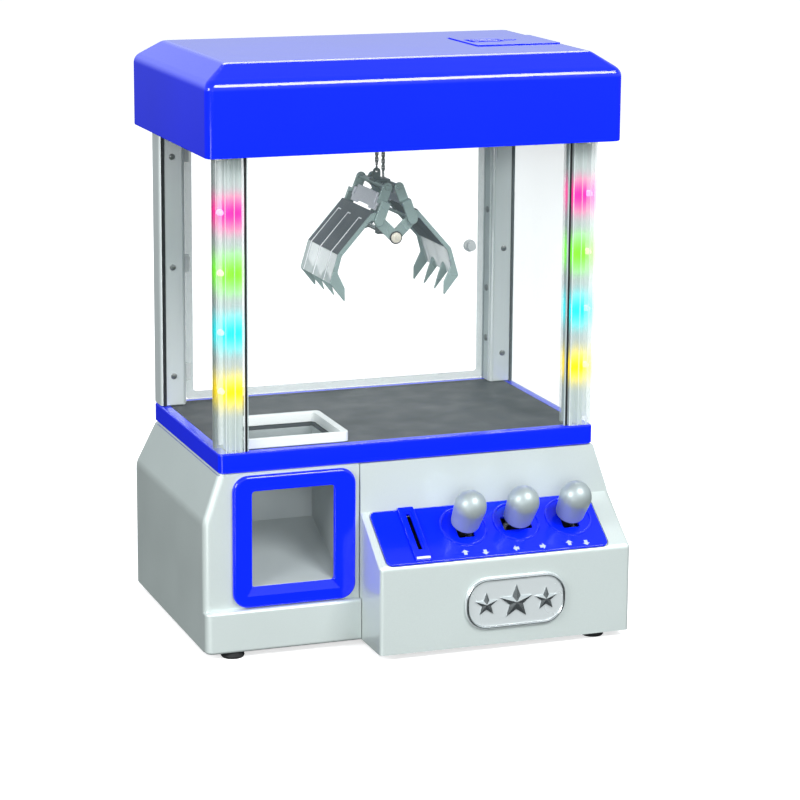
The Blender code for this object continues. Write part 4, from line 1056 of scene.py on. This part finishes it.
def build_posts():
    for label, side in (("left", -1), ("right", 1)):
        low, high = box(f"post_lens_{label}")
        outline = rounded_rectangle(low, high, 2.4, 8)
        bore = rounded_rectangle(low, high, 1.1, 8, 1.3)
        ends = ((outline, low.z), (outline, high.z), (bore, high.z), (bore, low.z))
        lens = Solid().hoop([level(ring, z) for ring, z in ends])
        piece(f"lamp_lens_{label}", lens, POST_LENS, "cabinet", "clear_plastic", [f"post_lens_{label}"])
        core_low, core_high = box(f"corner_post_front_{label}")
        y0, y1 = core_low.y, core_high.y
        x0, x1 = core_low.x, core_high.x
        inner, outer_edge = (x1, x0) if side < 0 else (x0, x1)
        step = (outer_edge - inner) / 8.7
        corners = [
            (inner, y0 + 0.4, 0.3),
            (inner + 1.6 * step, y0, 0.5),
            (inner + 2.4 * step, y0 + 1.4, 0.3),
            (inner + 3.0 * step, y0 + 5.0, 0.3),
            (inner + 5.6 * step, y0 + 5.0, 0.3),
            (inner + 6.2 * step, y0 + 1.4, 0.3),
            (inner + 7.0 * step, y0, 0.5),
            (outer_edge, y0 + 0.6, 0.3),
            (outer_edge, y1, 0.5),
            (inner, y1, 0.5),
        ]
        section = Solid().slab(filleted(corners, 3), low.z, high.z, 0.1, 1)
        node = f"corner_post_front_{label}"
        # The section carries painted glow from the lamps beside it.
        piece(f"post_section_{label}", section, POST_PAINTED_GLOW, "cabinet", "silver_post", [node])
        # Raised ribs down the lens, in a paler, denser clear that is painted highlight.
        ribs = Solid()
        for x in (inner - side * 0.75, inner + 5.0 * step, outer_edge + side * 2.0):
            ribs.block((x - 0.22, low.y + 0.25, low.z), (x + 0.22, low.y + 0.95, high.z), 0.08)
        piece(f"lens_ribs_{label}", ribs, LENS_RIB_PAINTED_HIGHLIGHT, "cabinet", "clear_plastic")
        build_leds(label)
        build_rear_post(label, side)


def build_leds(label):
    """The lamp board's bare strip, and a domed lamp with a bright core at each height."""
    low, high = box(f"led_strip_{label}")
    x = (low.x + high.x) / 2
    board = Solid().block((x - 1.6, high.y - 1.2, low.z), (x + 1.6, high.y, high.z), 0.1)
    piece(f"lamp_board_{label}", board, PALE_GREY, "cabinet", "board_green", [f"led_strip_{label}"])
    for z, finish, colour in zip(LED_Z, LED_FINISHES, LED_NAMES):
        facing = Matrix.Translation((x, high.y - 1.0, z)) @ Matrix.Rotation(math.pi / 2, 4, "X")
        dome = Solid(facing)
        profile = [(2.0, 0.0), (2.0, 0.6), (1.7, 0.65), (1.7, 3.2)]
        for step in range(1, 8):
            angle = math.pi / 2 * step / 8
            profile.append((1.7 * math.cos(angle), 3.2 + 1.7 * math.sin(angle)))
        dome.turned(profile, 24)
        piece(f"lamp_{colour}_{label}", dome, finish, "cabinet", "board_green", angle=60.0)


def build_rear_post(label, side):
    """A folded aluminium post with a screwed strip on its inner face."""
    low, high = box(f"corner_post_back_{label}")
    post = Solid().slab(rounded_rectangle(low, high, 2.2), low.z, high.z, 0.1, 1)
    piece(f"rear_post_{label}", post, POST_METAL, "cabinet", "silver_post", [f"corner_post_back_{label}"])
    inner = high.x if side < 0 else low.x
    start, end = low.y + 4.0, low.y + 15.0
    if side > 0:
        start, end = low.y + 1.5, box("loading_door")[0].y - 0.5
    strips = Solid()
    left, right = sorted((inner, inner - side * 1.0))
    strips.block((left, start, low.z + 0.5), (right, end, high.z - 0.5), 0.3)
    strips.block((low.x + 2.0, low.y - 0.8, low.z + 0.5), (high.x - 2.0, low.y, high.z - 0.5), 0.3)
    piece(f"rear_strip_{label}", strips, POST_METAL, "cabinet", "silver_post")
    heads = Solid()
    turn = Matrix.Rotation(-side * math.pi / 2, 4, "Y")
    front = Matrix.Rotation(math.pi / 2, 4, "X")
    for z in (160.0, 194.5, 248.0, 292.0):
        screw_head(heads, inner - side * 0.9, (start + end) / 2, z, turn, 2.3)
    for z in HINGE_Z:
        screw_head(heads, (low.x + high.x) / 2, low.y - 0.7, z, front, 2.0)
    piece(f"rear_screws_{label}", heads, SCREW, "cabinet", "silver_post")


def build_windows():
    for name in ("window_front", "window_left", "window_right"):
        low, high = box(name)
        pane = Solid().block(low, high, 0.15)
        # The right window gets the denser copy of the pane: painted reflection.
        finish = PANE_PAINTED_SHEEN if name == "window_right" else PANE
        piece(f"{name}_pane", pane, finish, "cabinet", "clear_plastic", [name])
    low, high = box("window_front")
    gaskets = Solid()
    for x in (low.x, high.x - 1.0):
        gaskets.block((x, low.y - 0.5, low.z), (x + 1.0, high.y + 0.5, high.z), 0.15)
    for label in ("left", "right"):
        pane_low, pane_high = box(f"window_{label}")
        for y in (pane_low.y, pane_high.y - 1.0):
            gaskets.block((pane_low.x - 0.5, y, pane_low.z), (pane_high.x + 0.5, y + 1.0, pane_high.z), 0.15)
    piece("window_gaskets", gaskets, BLACK, "cabinet", "black_rubber")
    edges = Solid()
    for x in (low.x + 1.2, high.x - 1.9):
        edges.block((x, low.y - 0.1, low.z), (x + 0.7, high.y + 0.1, high.z), 0.1)
    piece("window_edges", edges, PANE_EDGE, "cabinet", "clear_plastic")


def build_loading_door():
    """The clear back door: its pane, moulded frame, three hinge leaves and a finger knob."""
    low, high = box("loading_door")
    hinge = Vector((-105.15, 76.7, 0.0))
    pane = Solid().block((low.x + 2.3, low.y, low.z), (high.x, low.y + 1.4, high.z), 0.2)
    piece("door_pane", pane, PANE, "loading_door", "clear_plastic", ["loading_door"])
    frame_strip = Solid(Matrix.Translation((0.0, low.y + 1.4, 0.0)) @ FACING_FRONT)
    rings = []
    frame_low, frame_high = (low.x + 2.6, low.z + 0.3), (high.x - 0.3, high.z - 0.3)
    for shrink, depth in ((0.4, -0.9), (0.0, 0.0), (5.0, 0.0), (4.6, -0.9)):
        rings.append(level(rounded_rectangle(frame_low, frame_high, 2.0, 6, shrink), depth))
    frame_strip.hoop(rings)
    piece("door_frame", frame_strip, PANE_EDGE, "loading_door", "clear_plastic")
    hinges = Solid(Matrix.Translation(hinge))
    for z in HINGE_Z:
        hinges.rod((0.0, 0.0, z - 6.0), (0.0, 0.0, z + 6.0), 1.35)
        leaf = [(-0.9, 0.2), (0.9, 0.6), (4.4, -5.2), (1.2, -6.2)]
        hinges.slab(leaf, z - 5.6, z + 5.6, 0.15)
    piece("door_hinges", hinges, PALE_GREY, "loading_door", "clear_plastic")
    backward = Matrix.Rotation(-math.pi / 2, 4, "X")
    knob = Solid(Matrix.Translation((high.x - 9.0, low.y + 1.0, HINGE_Z[1])) @ backward)
    knob.turned([(3.0, 0.0), (3.0, 3.4), (4.2, 4.2), (4.2, 6.0), (3.8, 6.5), (0.05, 6.8)], 32)
    piece("door_knob", knob, PALE_GREY, "loading_door", "clear_plastic")


def build_floor_and_chute():
    refined("play_floor", FLOOR_DARK, 0.0)
    refined("chute_collar", PALE_GREY, 0.5, 50.0)
    refined("prize_chute", CHUTE_PAINTED_SHADE, 0.3)


# ---------------------------------------------------------------- gantry


def build_mechanism():
    """Working parts that keep their CAD shape, with rounded edges and their own finishes."""
    for node, finish, slot in (
        ("base_plate", BLACK, "black_plastic"),
        *((f"foot_{corner}", RUBBER, "black_rubber") for corner in FEET),
        ("coin_chute", BLACK, "grey_plastic"),
        ("coin_lever", SCREW, "steel"),
        ("lever_bracket", GREY, "grey_plastic"),
        ("circuit_board", BOARD, "board_green"),
        ("speaker", BLACK, "black_plastic"),
        ("power_switch", BLACK, "black_plastic"),
        ("coin_drawer", GREY, "grey_plastic"),
        ("battery_box", BLACK, "black_plastic"),
        ("canopy_ceiling", BLACK, "black_plastic"),
        ("gantry_rail_left", GREY, "grey_plastic"),
        ("gantry_rail_right", GREY, "grey_plastic"),
        ("bridge_beam", GREY, "grey_plastic"),
        ("bridge_motor", GEAR_WHITE, "gear_white"),
        ("bridge_axle", STEEL, "steel"),
        ("trolley_housing", GREY, "grey_plastic"),
        ("winch_motor", GEAR_WHITE, "gear_white"),
        ("winch_drum", GEAR_WHITE, "gear_white"),
    ):
        refined(node, finish)


def build_chains():
    """Two chains of round wire links. Their top stretch lies in the canopy and pays out to the claw."""
    upright = Matrix.Rotation(math.pi / 2, 4, "X")
    for name, x in (("hoist_chain", CLAW.x - CHAIN_OFFSET), ("closing_chain", CLAW.x + CHAIN_OFFSET)):
        low, high = box(name)
        chain = Solid()
        for index in range(int((high.z - low.z) / CHAIN_PITCH)):
            centre = (x, 0.0, low.z + CHAIN_PITCH * (index + 0.5))
            turn = Matrix.Rotation(math.radians(45.0 + 90.0 * (index % 2)), 4, "Z")
            chain.torus(centre, 1.0, CHAIN_WIRE, CHAIN_PITCH / 2 - 0.25, turn @ upright)
        made = to_object(f"{name}_links", chain, CHAIN_STEEL)
        smooth(made, 80.0)
        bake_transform(made)
        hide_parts(name)


# ---------------------------------------------------------------- claw


def build_claw_head():
    """The head: two rods joined by a web, and a small block with the chains' eye. The block and web are a
    darker copy of the rods' green: painted shade between the rods.
    """
    x, z = HEAD_PIN
    reach, web = EAR_Y[1] + 0.6, EAR_Y[0] - 1.0
    head = Solid(AT_CLAW)
    head.block((-5.4, -5.6, z - 2.4), (5.4, 5.6, z + 2.4), 0.8)
    eye = Solid(AT_CLAW @ FACING_FRONT)
    eye.slab(capsule((-CHAIN_OFFSET, z + 1.0), (-CHAIN_OFFSET, z + 6.9), 2.35), -1.1, 1.1, 0.4)
    hole = Solid(AT_CLAW)
    hole.rod((-CHAIN_OFFSET, -4.0, z + 7.2), (-CHAIN_OFFSET, 4.0, z + 7.2), 1.1)
    hole.rod((CHAIN_OFFSET, 0.0, z - 8.0), (CHAIN_OFFSET, 0.0, z + 8.0), ROD_PASSAGE_R)
    piece("claw_top", head, CLAW_PAINTED_SHADE, "claw_head", "claw_plastic", ["claw_head"], [hole], eye)
    rods = Solid(AT_CLAW)
    for side in (-1, 1):
        rods.rod((side * x, -reach, z), (side * x, reach, z), 1.6, 28, 0.5)
    passage = Solid(AT_CLAW).rod((CHAIN_OFFSET, 0.0, z - 8.0), (CHAIN_OFFSET, 0.0, z + 8.0), ROD_PASSAGE_R)
    piece("claw_top_rods", rods, CLAW_GREEN, "claw_head", "claw_plastic", cut=[passage])
    bridge = Solid(AT_CLAW)
    for start, end in ((-web, -5.7), (5.7, web)):
        bridge.block((-x + 1.0, start, z - 0.9), (x - 1.0, end, z + 0.9), 0.3)
        bridge.block((-0.8, start, z - 3.6), (0.8, end, z - 0.6), 0.3)
    piece("claw_top_web", bridge, CLAW_PAINTED_SHADE, "claw_head", "claw_plastic")
    link = Solid(AT_CLAW)
    link.torus((-CHAIN_OFFSET, 0.0, z + 8.7), 1.05, 0.36, 0.6, FACING_RIGHT, 16, 8)
    piece("claw_top_link", link, CHAIN_STEEL, "claw_head", "steel")


def capsule(start, end, radius, steps=10):
    """Round both ends of the line from start to end."""
    along = math.atan2(end[1] - start[1], end[0] - start[0])
    points = []
    for centre, first in ((end, along - math.pi / 2), (start, along + math.pi / 2)):
        for step in range(steps + 1):
            angle = first + math.pi * step / steps
            points.append((centre[0] + radius * math.cos(angle), centre[1] + radius * math.sin(angle)))
    return points


def build_claw_pivot():
    """The lower shaft, its cream caps in dark rings, and the closing rod."""
    shaft = Solid(AT_CLAW)
    shaft.rod((0.0, -31.0, 0.0), (0.0, 31.0, 0.0), 1.5)
    shaft.block((-2.4, -2.6, -2.4), (3.8, 2.6, 3.6), 0.5)
    shaft.rod((CHAIN_OFFSET, 0.0, 3.0), (CHAIN_OFFSET, 0.0, 36.4), 0.8)
    piece("claw_shaft", shaft, STEEL, "claw_pivot", "gear_white", ["claw_pivot"])
    caps = Solid()
    rings = Solid()
    for side in (-1, 1):
        out = Matrix.Rotation(-side * math.pi / 2, 4, "X")
        place = Matrix.Translation(CLAW + Vector((0.0, side * 30.5, 0.0))) @ out
        caps.transform = rings.transform = place
        caps.turned([(3.4, 0.0), (3.4, 0.7), (3.0, 1.2), (1.8, 1.5), (0.05, 1.6)], 32)
        rings.turned([(3.9, -0.45), (4.1, -0.3), (4.1, 0.3), (3.9, 0.45)], 32)
    piece("claw_caps", caps, CREAM, "claw_pivot", "gear_white")
    piece("claw_cap_rings", rings, BLACK, "claw_pivot", "gear_white")


def build_jaw(label, side):
    """Cheeks with fins, the dark and the pale back plate, and the white lines that run down them."""
    half = JAW_HALF_WIDTH[label]
    body = f"{label}_jaw"
    upright = AT_CLAW @ FACING_FRONT
    cheeks = Solid(upright)
    for end in (-1, 1):
        y_pair = sorted((end * half, end * (half - 1.5)))
        cheeks.slab(filleted(mirrored(CHEEK, side), 4), -y_pair[1], -y_pair[0], 0.35)
    for share in (-1 / 3, 1 / 3):
        y = half * share
        cheeks.slab(filleted(mirrored(FIN, side), 4), y - 0.7, y + 0.7, 0.25)
    reach = half + PIN_REACH
    cheeks.rod((side * SHOULDER[0], SHOULDER[1], -reach), (side * SHOULDER[0], SHOULDER[1], reach), PIN_R)
    hole = Solid(AT_CLAW)
    hole.rod((0.0, -40.0, 0.0), (0.0, 40.0, 0.0), 1.65)
    piece(f"{label}_jaw_cheeks", cheeks, CLAW_GREEN, body, "claw_plastic", [f"{label}_jaw"], [hole])
    start, knee, tip = JAW_BACK
    for name, first, last, finish in (("upper", start, knee, CLAW_DARK), ("lower", knee, tip, CLAW_CLEAR)):
        strip = Solid(upright)
        outline = mirrored(thick_line((first, last), -1.4, -0.05), side)
        outline = outline if area(outline) > 0 else outline[::-1]
        strip.slab(outline, -half + 0.2, half - 0.2, 0.1, 1)
        piece(f"{label}_jaw_plate_{name}", strip, finish, body, "claw_plastic")
    build_jaw_lines(label, side, half, body, upright)


def build_jaw_lines(label, side, half, body, upright):
    start, knee, tip = (Vector(point) for point in JAW_BACK)
    lines = Solid(upright)
    width = 0.75
    for share in (0.12, 0.43, 0.78):
        y = half * (1 - 2 * share)
        top = knee.lerp(start, 0.80)
        for first, last in ((top, knee), (knee, tip)):
            outline = mirrored(thick_line((tuple(first), tuple(last)), -0.2, 0.22), side)
            lines.slab(outline, -y - width / 2, -y + width / 2, 0.08, 1)
        tick_end = knee.lerp(start, 0.80 - 0.022)
        outline = mirrored(thick_line((tuple(top), tuple(tick_end)), -0.2, 0.22), side)
        lines.slab(outline, -y - width / 2, -y + 4.6, 0.08, 1)
    piece(f"{label}_jaw_lines", lines, WHITE_LINE, body, "claw_rivet")


def build_link(label, side):
    """A yoke from the head's rod to the jaw's shoulder: a notched plate between two stepped ears."""
    end = Vector((SHOULDER[0] - HEAD_PIN[0], SHOULDER[1] - HEAD_PIN[1]))
    run = end.normalized()
    out = Vector((-run.y, run.x))

    def along(distance, offset):
        return tuple(run * distance + out * offset)

    centre = CLAW + Vector((side * HEAD_PIN[0], 0.0, HEAD_PIN[1]))
    upright = Matrix.Translation(centre) @ FACING_FRONT
    body = f"{label}_link"
    upper_ear = mirrored(capsule((0.0, 0.0), along(SHELF[1] - EAR_R, 0.0), EAR_R, 14), side)
    rounded = capsule((0.0, 0.0), tuple(end), EAR_R, 14)[:15]
    lower_ear = mirrored([along(SHELF[0], -EAR_R), *rounded, along(SHELF[0], EAR_R)], side)
    shelf = [along(SHELF[0], -EAR_R), along(SHELF[1], -EAR_R), along(SHELF[1], EAR_R), along(SHELF[0], EAR_R)]
    outer = [JAW_HALF_WIDTH[label] + step for step in OUTER_EAR]
    ears = Solid(upright)
    bores = Solid(upright)
    reach = EAR_Y[1] + 1.0
    bores.rod((0.0, 0.0, -reach), (0.0, 0.0, reach), 1.75)
    for ear in (-1, 1):
        ears.slab(upper_ear, *sorted((ear * EAR_Y[0], ear * EAR_Y[1])), 0.45)
        ears.slab(lower_ear, *sorted((ear * outer[0], ear * outer[1])), 0.5)
        ears.slab(mirrored(shelf, side), *sorted((ear * (EAR_Y[0] + 0.1), ear * (outer[0] + 0.5))), 0.2)
        pin = (side * end.x, end.y, ear * (outer[0] - 1.0))
        bores.rod(pin, (pin[0], pin[1], ear * (outer[0] + PIN_REACH)), PIN_HOLE_R)
    piece(f"{label}_link_ears", ears, CLAW_GREEN, body, "claw_plastic", [body], [bores])
    across = Matrix(
        (
            (0.0, side * run.x, side * out.x, 0.0),
            (1.0, 0.0, 0.0, 0.0),
            (0.0, run.y, out.y, 0.0),
            (0.0, 0.0, 0.0, 1.0),
        )
    )
    corners = (
        (18.4, 4.8, 0.3),
        (18.4, 11.4, 0.2),
        (21.0, 11.4, 0.2),
        (21.0, 7.0, 0.3),
        (23.8, 7.0, 0.4),
        (23.8, 12.6, 0.2),
        (22.4, 12.6, 0.2),
        (22.4, 16.0, 0.4),
        (11.0, 16.0, 0.3),
        (11.0, 14.6, 0.3),
    )
    whole = [*corners, *((-y, distance, radius) for y, distance, radius in corners[::-1])]
    plate = Solid(Matrix.Translation(centre) @ across)
    plate.slab(filleted(whole, 3), 1.2, 2.6, 0.25)
    piece(f"{label}_link_plate", plate, CLAW_LILAC, body, "claw_plastic")


# ---------------------------------------------------------------- the whole


bpy.context.scene.view_settings.view_transform = "Standard"
build_camera()
build_lights()
bpy.context.scene.world = build_world()
build_floor()
build_base()
build_console()
build_waist()
build_canopy()
build_battery_door()
build_bezel()
build_panel()
build_levers()
build_badge()
build_posts()
build_windows()
build_loading_door()
build_floor_and_chute()
build_mechanism()
build_chains()
build_claw_head()
build_claw_pivot()
for claw_label, claw_side in (("left", -1), ("right", 1)):
    build_jaw(claw_label, claw_side)
    build_link(claw_label, claw_side)
